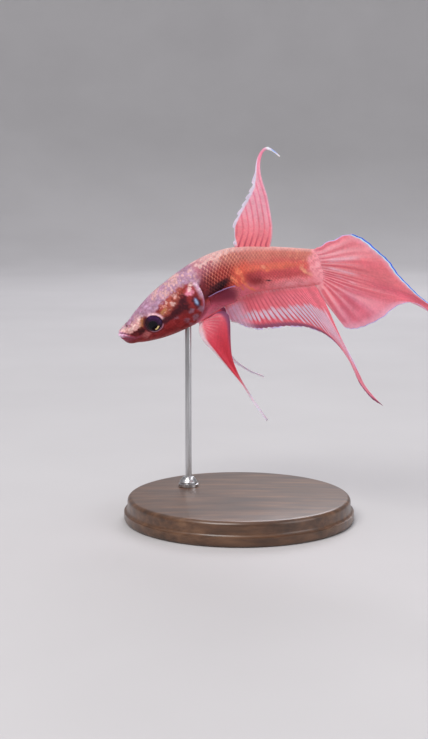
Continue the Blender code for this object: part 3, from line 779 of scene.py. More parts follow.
def flank_pattern(s, angle, a, b, s0, angle0):
    """A dark lens on each scale and a bright crescent behind it, strongest ahead of the dorsal fin."""
    plain = body_tint(s, angle)
    u0, v0 = section(s0, angle0)
    height, here = body_height(s0, v0), (s0, u0, v0)
    where = rise(s0, 0.41, 0.47) * (1 - 0.45 * rise(s0, 0.60, 0.74)) * (1 - 0.4 * rise(s0, 0.86, 0.95))
    where = where * (1 - 0.75 * patch(s0, v0, (0.638, -0.016), (0.046, 0.055))) * rise(s0, 0.975, 0.93)
    low = rise(height, 0.03, 0.14) * rise(s0, 0.66, 0.78)
    where = where * np.maximum(rise(height, 0.24, 0.42), low) * (1 - 0.35 * rise(height, 0.84, 0.98))
    bright = rise(speckle(here, 0.9, 8), 0.35, 0.75)
    lens = rise(np.hypot((a - 0.22) / 0.40, b / 0.72), 1.15, 0.75) * where
    lens = lens * (0.70 + 0.6 * speckle(here, 0.7, 7))
    crescent = rise(a + 0.12 * b * b, 0.58, 0.76) * rise(np.abs(b), 0.80, 0.50) * where
    crescent = crescent * (0.45 + 0.6 * bright)
    dark = plain * (0.50 + 0.24 * np.maximum(rise(height, 0.6, 0.9), rise(s0, 0.56, 0.70)))[..., None]
    pale_back = mix((0.76, 0.42, 0.38), (0.76, 0.34, 0.25), rise(s0, 0.48, 0.56))
    pale = painted(
        mix(plain, (0.66, 0.14, 0.09), 0.7),
        ((0.66, 0.23, 0.16), rise(height, 0.48, 0.75) * 0.8),
        (pale_back, rise(height, 0.68, 0.92) * bright * 0.8),
        (mix(plain, (1.0, 0.46, 0.46), 0.45 * rise(s0, 0.60, 0.70)), rise(height, 0.42, 0.28)),
        (dark, 0.85 * patch(s0, v0, *BLACK_PATCH, 8, 0.4)),
    )
    return painted(plain, (dark, np.clip(lens, 0, 1)), (pale, np.clip(crescent, 0, 1)))


def plain_pattern(s, angle, a, b, s0, angle0):
    """Scales a little darker at their rims. Some of those on the crown have a pale middle."""
    here = (s0, *section(s0, angle0))
    shade = (0.85 + 0.30 * speckle(here, 0.6, 9)) * (1 - 0.18 * rise(np.hypot(a, b), 0.7, 1.0))
    pale = rise(speckle(here, 0.8, 10), 0.60, 0.72) * rise(np.hypot(a - 0.1, b), 0.75, 0.35)
    pale = pale * rise(side_degrees(angle0), 34, 44)
    return mix(body_tint(s, angle) * shade[..., None], CREAM, 0.75 * pale)


def lay_scales(start, end, pitch, keep, rows):
    """Middles and half sizes of staggered scales, for those that keep() accepts. Pitch is a function of s."""
    middles, sizes = [], []
    s, k = start, 0
    while s < end:
        here = pitch(s)
        u, v = section(s, np.linspace(-0.5 * math.pi, 1.5 * math.pi, 181))
        row_pitch = in_mm(np.hypot(np.diff(u), np.diff(v)).sum()) / rows
        for row in range(rows // 2):
            angle = float(angle_at(s, (2 * row + k % 2 + 0.5) / rows))
            if keep(s, angle):
                middles.append((s, angle))
                sizes.append((here * OVERLAP[0], row_pitch * OVERLAP[1]))
        s += here / 2 * MM / LENGTH
        k += 1
    return np.array(middles), np.array(sizes)


def flank_pitch(s):
    return float(np.interp(s, (0.40, 0.60, 1.0), (0.94, 0.92, 0.66)))


def behind_gill(side):
    def keep(s, angle):
        line = float(smooth_gill_line(angle))
        free = float(gill_free(angle))
        return math.cos(angle) * side > 0 and line + 0.004 + 0.014 * free < s < tail_end(angle) - 0.004

    return keep


def on_head(s, angle):
    """The crown and the nape, down to the gill cover."""
    degrees = float(side_degrees(angle))
    ahead = s < float(smooth_gill_line(angle)) + 0.004
    return ahead and degrees > float(np.interp(s, (0.20, 0.26, 0.36, 0.42), (56, 44, 36, 36)))


def on_gill_cover(s, angle):
    degrees = float(side_degrees(angle))
    line = float(smooth_gill_line(angle))
    return -56 < degrees < 22 and 0.262 < s < line - 0.016


def make_coat():
    # Name, first and last s, pitch (mm), which scales to keep, rows round the body, lift (mm) and colours
    coat = (
        ("scales_left", 0.27, 1.034, flank_pitch, behind_gill(1), SCALE_ROWS, 0.11, flank_pattern),
        ("scales_right", 0.27, 1.034, flank_pitch, behind_gill(-1), SCALE_ROWS, 0.11, flank_pattern),
        ("scales_crown", 0.19, 0.425, lambda s: 0.80, on_head, SCALE_ROWS, 0.07, plain_pattern),
        ("scales_gill_covers", 0.262, 0.41, lambda s: 1.15, on_gill_cover, 36, 0.06, plain_pattern),
    )
    return [
        make_scales(name, *lay_scales(start, end, pitch, keep, rows), lift, pattern)
        for name, start, end, pitch, keep, rows, lift, pattern in coat
    ]


# --- eyes ----------------------------------------------------------------------------------------------

EYE_SEGMENTS = 128
EYE_TILT = math.radians(-8)     # towards the snout, as the head narrows
# Radius and height above the middle of the eyeball, mm, from its hidden back to the edge of the dome
EYE_BACK = ((0.02, -0.90), (0.8, -0.85), (1.5, -0.50), (2.0, 0.05), (2.2, 0.45))
EYE_EDGE = (2.23, 0.66)
EYE_TOP = 1.54
DOME_ROWS = 44
PUPIL = 1.10
PUPIL_SHIFT = (-0.20, -0.06)    # mm towards the snout and down
IRIS = (0.030, 0.007, 0.034)
IRIS_DARK = (0.028, 0.005, 0.012)
PUPIL_BLACK = (0.004, 0.003, 0.006)
EYE_GOLD = (1.0, 0.78, 0.34)


def eye_tint(x, y):
    """Colour of the eye: the pupil, a dark violet iris and a bright wedge low and behind the pupil."""
    radius, around = np.hypot(x, y), np.arctan2(y, x)
    x, y = x - PUPIL_SHIFT[0], y - PUPIL_SHIFT[1]
    from_pupil, turn = np.hypot(x, y), np.arctan2(y, x)
    rear = np.cos(around - 0.7)
    violet = cloud(around * 7, radius * 3, 0, 5) * rise(radius, 1.2, 1.6) * rise(rear, 0.1, 0.8)
    return painted(
        mix(IRIS_DARK, IRIS, rise(rear, -0.1, 0.7)),
        # painted highlight: a lighter violet cloud on the upper rear of the iris
        ((0.075, 0.028, 0.105), 0.7 * violet),
        ((0.40, 0.24, 0.38), hump(radius, 1.92, 0.06) * rise(np.sin(around + 0.6), 0.0, -0.6) * 0.8),
        (EYE_GOLD, rise(np.abs(from_pupil - 1.26), 0.30, 0.20) * rise(np.cos(turn + 1.15), 0.84, 0.94)),
        (PUPIL_BLACK, rise(from_pupil, PUPIL + 0.03, PUPIL - 0.03)),
    )


def make_eye(side, word):
    """The front of an eyeball as a dome, on a short back that its socket hides."""
    edge, edge_height = EYE_EDGE
    across = np.linspace(edge, 0.02, DOME_ROWS)
    ball = (edge**2 + (EYE_TOP - edge_height) ** 2) / (2 * (EYE_TOP - edge_height))
    back_radius, back_height = np.transpose(EYE_BACK)
    radius = np.concatenate([back_radius, across])[:, None]
    height = np.concatenate([back_height, EYE_TOP - ball + np.sqrt(ball**2 - across**2)])[:, None]
    turn = np.arange(EYE_SEGMENTS) * 2 * math.pi / EYE_SEGMENTS
    x, y = radius * np.cos(turn), radius * np.sin(turn)
    s, u, v = EYE_PLACE
    axes = heading(s) @ rotation("Z", side * EYE_TILT)
    points = place(s, side * u, v) + MM * np.stack([x, -side * (height + 0 * x), y], axis=-1) @ axes.T
    tint = eye_tint(x, y)
    tint[: len(EYE_BACK)] = IRIS
    faces = capped_grid(len(radius), EYE_SEGMENTS)
    uv = (np.stack([x, y], axis=-1) / edge * 0.47 + 0.5).reshape(-1, 2)[faces]
    order = slice(None, None, -1) if side > 0 else slice(None)
    return add_piece(f"eyeball_{word}", points, faces[:, order], tint, EYE, uv[:, order])


# --- fins ----------------------------------------------------------------------------------------------

ROW_CROWDING = 1.6          # a fin's rows lie closer together towards its edge
FIN_SEAT = 0.006            # a fin's root lies this share inside the body

# The dorsal fin's front and rear edges (s, v), from its root to its tip
DORSAL_FRONT = (
    (0.622, 0.120), (0.622, 0.168), (0.631, 0.207), (0.650, 0.238), (0.674, 0.272), (0.705, 0.309),
    (0.733, 0.341), (0.757, 0.371), (0.773, 0.406), (0.786, 0.438), (0.796, 0.466), (0.810, 0.493),
    (0.831, 0.517), (0.854, 0.532), (0.877, 0.531), (0.900, 0.515), (0.922, 0.492),
)
DORSAL_REAR = (
    (0.776, 0.120), (0.792, 0.146), (0.807, 0.173), (0.817, 0.203), (0.820, 0.240), (0.822, 0.288),
    (0.822, 0.331), (0.816, 0.370), (0.812, 0.403), (0.812, 0.436), (0.818, 0.466), (0.829, 0.492),
    (0.845, 0.513), (0.862, 0.521), (0.880, 0.518), (0.899, 0.506), (0.918, 0.489),
)
DORSAL_RAY_PITCH = 0.027    # share of the fish's length
# Lines that a fin's rays follow, from its front or upper edge to its rear or lower edge
ANAL_LINES = (
    ((0.470, -0.124), (0.464, -0.168), (0.464, -0.212)),
    ((0.530, -0.118), (0.535, -0.186), (0.548, -0.254)),
    ((0.590, -0.108), (0.608, -0.186), (0.634, -0.264)),
    ((0.650, -0.095), (0.681, -0.177), (0.722, -0.258)),
    ((0.710, -0.085), (0.752, -0.170), (0.808, -0.254)),
    ((0.765, -0.079), (0.820, -0.168), (0.888, -0.261)),
    ((0.815, -0.074), (0.884, -0.176), (0.964, -0.289)),
    ((0.860, -0.071), (0.918, -0.150), (0.970, -0.238), (1.024, -0.341)),
    ((0.895, -0.070), (0.955, -0.160), (1.000, -0.255), (1.036, -0.340), (1.072, -0.425)),
    ((0.920, -0.069), (0.968, -0.150), (1.010, -0.240), (1.042, -0.325), (1.070, -0.410), (1.094, -0.512)),
    ((0.940, -0.068), (0.985, -0.150), (1.018, -0.240), (1.050, -0.325), (1.080, -0.410), (1.101, -0.492),
     (1.136, -0.576)),
    ((0.960, -0.068), (0.992, -0.120), (1.014, -0.190), (1.034, -0.268), (1.056, -0.340), (1.082, -0.408),
     (1.100, -0.468), (1.117, -0.520), (1.148, -0.566), (1.186, -0.609)),
)
TAIL_LINES = (
    ((0.985, 0.086), (1.050, 0.113), (1.115, 0.134), (1.183, 0.151)),
    ((0.990, 0.072), (1.060, 0.085), (1.145, 0.105), (1.234, 0.123)),
    ((0.995, 0.058), (1.080, 0.066), (1.180, 0.074), (1.284, 0.069)),
    ((0.998, 0.044), (1.100, 0.046), (1.210, 0.040), (1.325, 0.021)),
    ((1.000, 0.032), (1.110, 0.024), (1.230, 0.000), (1.352, -0.034)),
    ((1.000, 0.020), (1.120, 0.000), (1.250, -0.036), (1.390, -0.088)),
    ((1.000, 0.010), (1.130, -0.020), (1.270, -0.062), (1.433, -0.143)),
    ((1.000, 0.002), (1.140, -0.036), (1.270, -0.082), (1.405, -0.140), (1.524, -0.232)),
    ((1.000, -0.006), (1.140, -0.048), (1.270, -0.096), (1.400, -0.150), (1.510, -0.232), (1.611, -0.316)),
    ((1.000, -0.013), (1.140, -0.060), (1.270, -0.108), (1.395, -0.156), (1.490, -0.234)),
    ((1.000, -0.020), (1.130, -0.070), (1.270, -0.118), (1.408, -0.165)),
    ((1.000, -0.027), (1.110, -0.078), (1.220, -0.126), (1.331, -0.168)),
    ((1.000, -0.036), (1.085, -0.094), (1.170, -0.152), (1.250, -0.219)),
    ((1.000, -0.046), (1.058, -0.110), (1.112, -0.178), (1.165, -0.253)),
    ((0.995, -0.056), (1.025, -0.114), (1.062, -0.184), (1.108, -0.264)),
    ((0.970, -0.066), (0.996, -0.128), (1.034, -0.192), (1.072, -0.256)),
)
TAIL_SWEEP = -0.05          # u of the tail fin half a fish's length behind its root
PECTORAL_ROOT = ((0.432, -0.026), (0.420, -0.070))
PECTORAL_MARGIN = ((0.625, -0.028), (0.632, -0.062), (0.590, -0.100), (0.525, -0.124))
PECTORAL_STANDOFF = (0.084, 0.074)      # u of its root and of its margin
PELVIC_STANDOFF = 0.046     # u of a pelvic fin's root
PELVIC_FLARE = 0.05         # u that it gains for each 1 of v that it hangs down
# The front and the rear edge of each pelvic fin, from its root to the tip of its filament
PELVIC_LEFT = (
    ((0.348, -0.129), (0.322, -0.140), (0.307, -0.175), (0.306, -0.221), (0.321, -0.285), (0.338, -0.384),
     (0.352, -0.482), (0.353, -0.560), (0.356, -0.625), (0.363, -0.692)),
    ((0.380, -0.127), (0.440, -0.125), (0.472, -0.145), (0.470, -0.185), (0.412, -0.275), (0.376, -0.345),
     (0.363, -0.430), (0.363, -0.520), (0.367, -0.610), (0.374, -0.692)),
)
PELVIC_RIGHT = (
    ((0.348, -0.129), (0.330, -0.140), (0.322, -0.175), (0.324, -0.221), (0.338, -0.285), (0.352, -0.345),
     (0.364, -0.408), (0.380, -0.450), (0.418, -0.510), (0.472, -0.549)),
    ((0.380, -0.127), (0.432, -0.127), (0.456, -0.145), (0.452, -0.185), (0.410, -0.260), (0.385, -0.320),
     (0.377, -0.390), (0.389, -0.442), (0.424, -0.504), (0.474, -0.541)),
)

RIM_BLUE = (0.02, 0.13, 0.85)
RIM_LILAC = (0.60, 0.52, 0.84)


def curve_through(points, t):
    """Places at t, from 0 to 1, on a smooth curve that passes the points at even steps of t."""
    points = np.asarray(points, float)
    slopes = np.gradient(points, axis=0)
    x = np.clip(t, 0.0, 1.0) * (len(points) - 1)
    i = np.minimum(x.astype(int), len(points) - 2)
    return bridge(points[i], points[i + 1], slopes[i], slopes[i + 1], (x - i)[..., None])


def sheet_through(lines, across, along):
    """Places on a smooth sheet that passes through lines at even steps across it."""
    lines = np.stack([curve_through(line, along) for line in lines])
    slopes = np.gradient(lines, axis=0)
    x = across * (len(lines) - 1)
    i = np.minimum(x.astype(int), len(lines) - 2)
    here, ahead = (i, *np.indices(across.shape)), (i + 1, *np.indices(across.shape))
    return bridge(lines[here], lines[ahead], slopes[here], slopes[ahead], (x - i)[..., None])


def ray_nearness(count, along):
    """1 on a fin ray and 0 between. Each ray forks in two past half of its length."""
    opened = 0.22 * rise(along, 0.50, 1.0)
    return hump(np.abs(count % 1.0 - 0.5), opened, 0.15)


def walked(points):
    """Millimetres from the start of each row of points."""
    strides = np.linalg.norm(np.diff(points, axis=1), axis=-1) / MM
    return np.concatenate([np.zeros((len(points), 1)), np.cumsum(strides, axis=1)], axis=1)


def closed_sheet(columns, rows):
    """Faces of a sheet's front, back and border, and how many of them make the border."""
    total = columns * rows
    index = np.arange(total).reshape(columns, rows)
    border = np.concatenate([index[:-1, 0], index[-1, :-1], index[:0:-1, -1], index[0, :0:-1]])
    ahead = np.roll(border, -1)
    rim = np.stack([border, border + total, ahead + total, ahead], axis=-1)
    sheet = grid_faces(columns, rows)
    faces = np.concatenate([sheet, sheet[:, ::-1] + total, rim])
    return faces, len(rim)


def make_fin(name, shape, tint_of, columns, rows, rays, finish, root, edge, ray, pleat, notch=0.0):
    """A closed thin fin with rays on both faces.

    Shape(across, along) gives s, u and v. Rays is how many there are, or a function of s and v that counts
    them. In mm: half the thickness at the root and at the edge, how far a ray stands out, how deep the pleats
    are and how far the edge is cut back between the rays.
    """
    steps = 1 - (1 - np.linspace(0, 1, rows)) ** ROW_CROWDING
    across, along = np.meshgrid(np.linspace(0, 1, columns), steps, indexing="ij")
    if notch:
        between = 0.5 + 0.5 * np.cos(2 * math.pi * across * rays)
        fade = rise(across, 0, 0.04) * rise(across, 1, 0.96)
        length = walked(place(*shape(across, along)))[:, -1:]
        along = along * (1 - notch / length * between * fade * rise(along, 0.5, 1.0))
    s, u, v = shape(across, along)
    count = rays(s, v) if callable(rays) else across * rays
    middle = place(s, u, v)
    normal = unit(np.cross(np.gradient(middle, axis=0), np.gradient(middle, axis=1)))
    rounded = 0.5 - 0.5 * np.cos(2 * math.pi * count)
    middle += normal * (pleat * MM * rounded * rise(along, 0.0, 0.2) * (1 - 0.5 * along))[..., None]
    near = ray_nearness(count, along)
    from_root = walked(middle)
    to_edge = from_root[:, -1:] - from_root
    half = root + (edge - root) * along**0.7 + ray * near * (1 - 0.75 * along)
    half = half * (0.35 + 0.65 * np.minimum(rise(across, 0, 0.012), rise(across, 1, 0.988)))
    half = half * (0.3 + 0.7 * rise(to_edge, 0, 0.3))
    faces, rim = closed_sheet(columns, rows)
    flat = np.stack([along, across], axis=-1).reshape(-1, 2) * (0.98, 0.47) + (0.01, 0.01)
    uv = np.concatenate([flat, flat + (0, 0.5)])[faces]
    uv[-rim:] = uv[-rim:, :1]
    soft = cloud(count * 0.5, from_root * 0.25, 0, 3) - 0.5
    fine = cloud(count * 2, from_root * 1.2, 0, 4) - 0.5
    made = tint_of(across=across, along=along, near=near, to_edge=to_edge, from_root=from_root, s=s, v=v)
    made = made * (1 + 0.22 * soft + 0.12 * fine)[..., None]
    points = np.stack([middle + normal * (side * half * MM)[..., None] for side in (1, -1)])
    return add_piece(name, points, faces, np.stack([made, made]), finish, uv)


def dorsal_count(s, v):
    """Counts the rays from the rear edge, which they run beside."""
    rear_s, rear_v = np.transpose(DORSAL_REAR[:12])
    return (np.interp(v, rear_v, rear_s) - s) / DORSAL_RAY_PITCH + 0.15


def dorsal_shape(across, along):
    front, rear = curve_through(DORSAL_FRONT, along), curve_through(DORSAL_REAR, along)
    s, v = np.moveaxis(front * (1 - across)[..., None] + rear * across[..., None], -1, 0)
    # Where a ray ends on the front edge, it juts out a little
    step = dorsal_count(*np.moveaxis(front, -1, 0)) % 1.0
    s = s - 0.009 * rise(step, 0, 0.7) * rise(step, 1.0, 0.9) * (1 - across) ** 8 * rise(along, 0.62, 0.45)
    root = station(s)[1] - FIN_SEAT
    v = v + (root - v) * np.maximum(0.0, 1 - 5 * along) ** 2
    wave = 0.004 * np.sin(7 * across + 5 * along) * rise(along, 0.1, 0.4) * (1 - along)
    return s, wave, v


def dorsal_tint(across, along, near, from_root, s, v, **_):
    behind = in_mm(s - np.interp(v, *np.transpose(DORSAL_FRONT[:14])[::-1]))
    width = 0.48 + 0.60 * hump(along, 0.36, 0.14)
    front_edge = rise(behind, width, width * 0.45) * rise(along, 0.02, 0.06) * rise(along, 0.74, 0.62)
    return painted(
        mix((0.94, 0.24, 0.28), (1.0, 0.33, 0.47), rise(along, 0.1, 0.4)),
        ((1.0, 0.58, 0.68), (1 - near) * 0.6 * rise(along, 0.72, 0.5) * rise(along, 0.05, 0.3)),
        ((0.34, 0.02, 0.045), near * rise(from_root, 4.2, 0.5) * 0.9),
        ((0.80, 0.15, 0.26), near * rise(along, 0.70, 0.25) * 0.35),
        ((0.80, 0.54, 0.72), rise(along, 0.72, 0.84) * 0.6),
        ((0.82, 0.81, 0.98), front_edge * 0.9),
        ((0.84, 0.50, 0.62), rise(across, 0.965, 0.995) * 0.7),
        ((0.94, 0.92, 1.0), rise(along, 0.80, 0.86)),
        ((0.16, 0.40, 1.0), hump(along, 0.93, 0.04) * rise(across, 0.7, 0.3) * 0.8),
    )


ANAL_RAYS = 32


def anal_shape(across, along):
    s, v = np.moveaxis(sheet_through(ANAL_LINES, across, along), -1, 0)
    root = station(np.clip(s, 0.4, 0.96))[2] + FIN_SEAT
    v = v + (root - v) * np.maximum(0.0, 1 - 8 * along) ** 2
    return s, 0.010 * along * np.sin(9 * across) * (1 - across), v


def anal_tint(across, near, to_edge, from_root, **_):
    between = 1 - near
    start = 3.8 + 1.0 * rise(across, 0.1, 0.5) + 2.2 * rise(across, 0.58, 0.90)
    end = 1.7 + 0.3 * rise(across, 0.5, 0.2) + 1.2 * rise(across, 0.6, 0.8)
    ragged = 0.3 * np.sin(across * 97) + 0.2 * np.sin(across * 41)
    lozenge = rise(from_root + ragged, start, start + 1.3) * rise(to_edge + ragged, end, end + 0.9)
    lozenge = lozenge * rise(between, 0.25, 0.80) * rise(across, 0.03, 0.12) * rise(across, 0.90, 0.80)
    streak = hump(across, 0.885, 0.022) * rise(from_root, 5.5, 8.0) * rise(to_edge, 4.0, 7.0)
    filament = rise(from_root, 13.0, 17.0) * rise(from_root + to_edge, 16, 20)
    edge = mix((0.72, 0.62, 0.92), (0.96, 0.92, 1.0), rise(np.sin(across * 60), -0.2, 0.6))
    return painted(
        mix((0.92, 0.19, 0.25), (0.98, 0.25, 0.32), rise(from_root, 0.5, 3.0) * rise(across, 0.1, 0.5)),
        ((0.98, 0.42, 0.46), between * rise(from_root, 1.4, 0.2) * 0.8),
        ((0.62, 0.06, 0.11), near * rise(from_root, 0.6, 3.0) * 0.75),
        ((0.18, 0.075, 0.16), rise(to_edge, 2.0, 0.9) * 0.8),
        ((1.0, 0.70, 0.92), rise(across, 0.20, 0.05) * rise(from_root, 0.4, 2.0) * (0.65 + 0.3 * between)),
        ((0.78, 0.66, 0.82), lozenge * 0.9),
        ((0.90, 0.66, 0.84), streak * 0.9),
        ((0.72, 0.62, 0.96), filament * rise(across, 0.925, 0.965) * rise(to_edge, 8.0, 11.0) * 0.95),
        ((0.86, 0.30, 0.40), filament * rise(to_edge, 9.0, 7.0) * rise(to_edge, 0.8, 2.0) * 0.8),
        (edge, rise(to_edge, 0.46, 0.30) * rise(from_root, 3, 5) * rise(across, 0.93, 0.86)),
    )


TAIL_RAYS = 26
TAIL_CORNER = 0.48          # the share of the tail fin that ends on its upper rear edge


def tail_shape(across, along):
    s, v = np.moveaxis(sheet_through(TAIL_LINES, across, along), -1, 0)
    v = v + 0.003 * np.sin(17 * along + 0.8) * rise(across, 0.12, 0.0) * rise(along, 0.05, 0.2)
    reach = (s - 1) / 0.5
    wave = 0.004 * np.sin(9 * across) * np.sin(math.pi * along)
    return s, TAIL_SWEEP * reach**2 + wave, v


# Painted highlights as pale streaks on the tail fin: start and end (s, v), half width and strength
TAIL_STREAKS = (
    ((1.046, 0.011), (1.188, -0.030), 0.0050, 1.0), ((1.050, 0.040), (1.210, 0.048), 0.0090, 0.7),
    ((1.070, -0.022), (1.125, -0.049), 0.0035, 0.5), ((1.127, -0.050), (1.175, -0.074), 0.0045, 1.0),
    ((1.072, -0.096), (1.098, -0.112), 0.0045, 0.9), ((1.100, -0.070), (1.150, -0.098), 0.0035, 0.4),
)


def streak_layer(s, v, start, end, width, strength):
    length = math.hypot(end[0] - start[0], end[1] - start[1])
    x, y = (end[0] - start[0]) / length, (end[1] - start[1]) / length
    walked = (s - start[0]) * x + (v - start[1]) * y
    aside = (v - start[1]) * x - (s - start[0]) * y
    streak = hump(aside, 0, width) * rise(walked, -0.01, 0.03) * rise(walked, length + 0.01, length - 0.05)
    return (1.0, 0.64, 0.76), streak * strength * 0.7


def tail_tint(across, along, near, to_edge, from_root, s, v):
    # Noise for bands of painted shade and painted highlight that stand for folds in the fin
    fold = cloud(across * 13, from_root * 0.05, 0, 6)
    broad = 0.5 + 0.5 * np.cos(2 * math.pi * (across * 14 + 0.4 * cloud(across * 6, from_root * 0.1, 0, 7)))
    ragged = from_root + 1.6 * cloud(across * 40, from_root * 1.5, 0, 9)
    dots = rise(ragged, 2.2, 1.0) * rise(cloud(across * 60, from_root * 2.5, 0, 8), 0.4, 0.8)
    upper = rise(across, TAIL_CORNER, TAIL_CORNER - 0.03)
    return painted(
        mix((0.89, 0.245, 0.285), (0.96, 0.33, 0.39), rise(across, 0.26, 0.04)),
        ((0.78, 0.245, 0.345), rise(across, 0.64, 0.80) * rise(from_root, 3, 9) * 0.9),
        # painted shade along a fold, then painted shade and painted highlight on smaller folds
        ((0.70, 0.12, 0.20), hump(v + 0.42 * (s - 1.3) + 0.105, 0, 0.030) * rise(s, 1.14, 1.30) * 0.7),
        ((0.70, 0.12, 0.18), rise(fold, 0.50, 0.30) * rise(from_root, 24, 7) * 0.55),
        ((0.98, 0.42, 0.48), rise(fold, 0.58, 0.78) * rise(from_root, 22, 7) * 0.6),
        ((0.66, 0.09, 0.15), rise(broad, 0.55, 0.05) * rise(from_root, 17, 4) * 0.5),
        ((1.0, 0.52, 0.60), rise(broad, 0.60, 1.0) * rise(from_root, 14, 3) * 0.5),
        ((0.72, 0.11, 0.17), near * rise(from_root, 5, 2) * 0.15),
        # painted highlights in streaks
        *(streak_layer(s, v, *streak) for streak in TAIL_STREAKS),
        (TAIL_PINK, rise(ragged, 3.0, 1.0) * 0.85),
        (PALE_CREAM, dots * 0.25),
        ((0.90, 0.50, 0.66), rise(to_edge, 2.4, 0.3) * 0.6),
        ((0.62, 0.88, 1.0), rise(to_edge, 0.85, 0.55) * upper),
        (RIM_LILAC, rise(to_edge, 0.32, 0.16) * (1 - upper)),
        (RIM_BLUE, rise(to_edge, 0.38, 0.26) * upper),
        (RIM_LILAC, rise(across, 0.010, 0.004) * rise(along, 0.15, 0.3)),
    )


def pectoral_shape(side):
    def shape(across, along):
        root = curve_through(PECTORAL_ROOT, across)
        margin = curve_through(PECTORAL_MARGIN, across)
        reach = along * (1 - 0.34 * rise(across, 0.62, 1.0) - 0.10 * rise(across, 0.12, 0.0))
        s, v = np.moveaxis(root + (margin - root) * reach[..., None], -1, 0)
        near, far = PECTORAL_STANDOFF
        cup = 0.006 * np.sin(math.pi * across) * np.sin(math.pi * along)
        return s, side * (near + (far - near) * along - cup), v

    return shape


def pectoral_tint(across, along, near, **_):
    return painted(
        mix((0.30, 0.030, 0.060), (0.18, 0.018, 0.050), rise(along, 0.1, 0.5) * rise(across, 0.9, 0.3)),
        # the body's red seen through the fin, made brighter as painted light against the fin's own shadow
        ((0.98, 0.24, 0.28), rise(along - 0.25 * across, 0.60, 1.05)),
        ((0.12, 0.010, 0.03), near * 0.4),
        ((0.58, 0.10, 0.17), rise(across, 0.50, 0.90) * 0.9),
        # painted reflection along the leading edge
        ((0.44, 0.32, 0.66), rise(across, 0.06, 0.015) * 0.95),
    )


def pelvic_shape(side, front, rear):
    def shape(across, along):
        ahead, behind = curve_through(front, along), curve_through(rear, along)
        s, v = np.moveaxis(ahead * (1 - across)[..., None] + behind * across[..., None], -1, 0)
        hang = np.maximum(0.0, PELVIC_LEFT[0][0][1] - v)
        fold = 0.006 * np.sin(10 * across) * rise(along, 0.05, 0.25) * rise(along, 0.7, 0.4)
        return s, side * (PELVIC_STANDOFF + PELVIC_FLARE * hang + fold), v

    return shape


def pelvic_tint(pale_start, pale_end):
    """A fan of rays on red with a pale front edge. Between two shares of its length the fin turns pale."""

    def tint_of(across, along, from_root, s, v, **_):
        fan = np.arctan2(-0.118 - v, s - 0.318) * 9
        rays = rise(np.sin(fan * 2 * math.pi / 1.6), 0.1, 0.9) * rise(from_root, 5.5, 1.0)
        return painted(
            mix((1.0, 0.20, 0.28), (0.72, 0.055, 0.09), rise(along, 0.12, 0.45)),
            ((0.98, 0.40, 0.42), rays * 0.75),
            ((0.25, 0.09, 0.20), rise(across, 0.77, 0.93) * rise(along, 0.60, 0.3) * 0.9),
            ((0.96, 0.62, 0.66), rise(across, 0.20, 0.08) * rise(along, 0.34, 0.2)),
            ((0.98, 0.76, 0.84), rise(across, 0.12, 0.06) * rise(along, 0.10, 0.25) * 0.9),
            ((0.90, 0.84, 0.98), rise(along, pale_start, pale_end) * 0.95),
        )

    return tint_of


def make_fins():
    """The fins, by the name of the node that each replaces."""
    pelvic = (72, 180, 5, FIN, 0.16, 0.12, 0.05, 0.05)
    pectoral = (96, 48, 12, CLEAR_FIN, 0.10, 0.04, 0.06, 0.05, 0.15)
    # Shape and tint, columns and rows of its grid, rays, finish, and its sizes in mm, as make_fin has them
    fins = {
        "dorsal": (dorsal_shape, dorsal_tint, 160, 220, dorsal_count, FIN, 0.22, 0.05, 0.03, 0.03),
        "anal": (anal_shape, anal_tint, 340, 110, ANAL_RAYS, FIN, 0.16, 0.05, 0.05, 0.06, 0.18),
        "tail": (tail_shape, tail_tint, 320, 130, TAIL_RAYS, FIN, 0.20, 0.05, 0.015, 0.02, 0.12),
        "pelvic_left": (pelvic_shape(1, *PELVIC_LEFT), pelvic_tint(0.60, 0.85), *pelvic),
        "pelvic_right": (pelvic_shape(-1, *PELVIC_RIGHT), pelvic_tint(0.42, 0.60), *pelvic),
        "pectoral_left": (pectoral_shape(1), pectoral_tint, *pectoral),
        "pectoral_right": (pectoral_shape(-1), pectoral_tint, *pectoral),
    }
    made = {}
    for name, fin in fins.items():
        kind, *side = name.split("_")
        made["_".join([kind, "fin", *side])] = make_fin(name, *fin)
    return made


# --- stand ---------------------------------------------------------------------------------------------

LATHE_SEGMENTS = 128
SHARP = math.radians(40)    # edges of the stand steeper than this are sharp
HIDDEN_UV = 0.995           # place of a lathe's end caps on the bake map


def wood_finish():
    made, tree, shader, where = new_finish("walnut")
    rings = noise_on(tree, where, 60, 6, 0.6, stretch=(1, 6, 6))
    grain = noise_on(tree, where, 700, 5, 0.6, stretch=(0.12, 1, 1))
    dark, mid, light = (0.050, 0.022, 0.010), (0.115, 0.052, 0.024), (0.200, 0.100, 0.050)
    colour = ramp(tree, rings, (0.30, dark), (0.72, light), (0.52, mid))
    lines = ramp(tree, grain, (0.35, (0.55, 0.50, 0.48)), (0.60, (1, 1, 1)))
    feed(tree, shader, {
        "Base Color": multiply(tree, colour, lines, 0.8),
        "Roughness": spread(tree, grain, 0.30, 0.46),
        "Normal": bump(tree, grain, 0.25, 0.03 * MM),
        "Coat Weight": 0.35,
        "Coat Roughness": 0.20,
    })
    return made


def steel_finish():
    made, tree, shader, where = new_finish("brushed_steel")
    brushed = noise_on(tree, where, 3000, 3, 0.5, stretch=(1, 1, 0.03))
    feed(tree, shader, {
        "Base Color": ramp(tree, brushed, (0.3, (0.46, 0.46, 0.47)), (0.7, (0.66, 0.66, 0.67))),
        "Roughness": spread(tree, brushed, 0.22, 0.38),
        "Normal": bump(tree, brushed, 0.10, 0.01 * MM),
        "Metallic": 1.0,
    })
    return made


def turned(profile, middle=(0, 0)):
    """Points of a turned surface. Its profile is radius and height, from the middle of its underside."""
    radius, height = np.transpose(profile)[..., None]
    turn = np.arange(LATHE_SEGMENTS) * 2 * math.pi / LATHE_SEGMENTS
    x, y = middle[0] + radius * np.cos(turn), middle[1] + radius * np.sin(turn)
    return np.stack([x, y, height + 0 * turn], axis=-1)


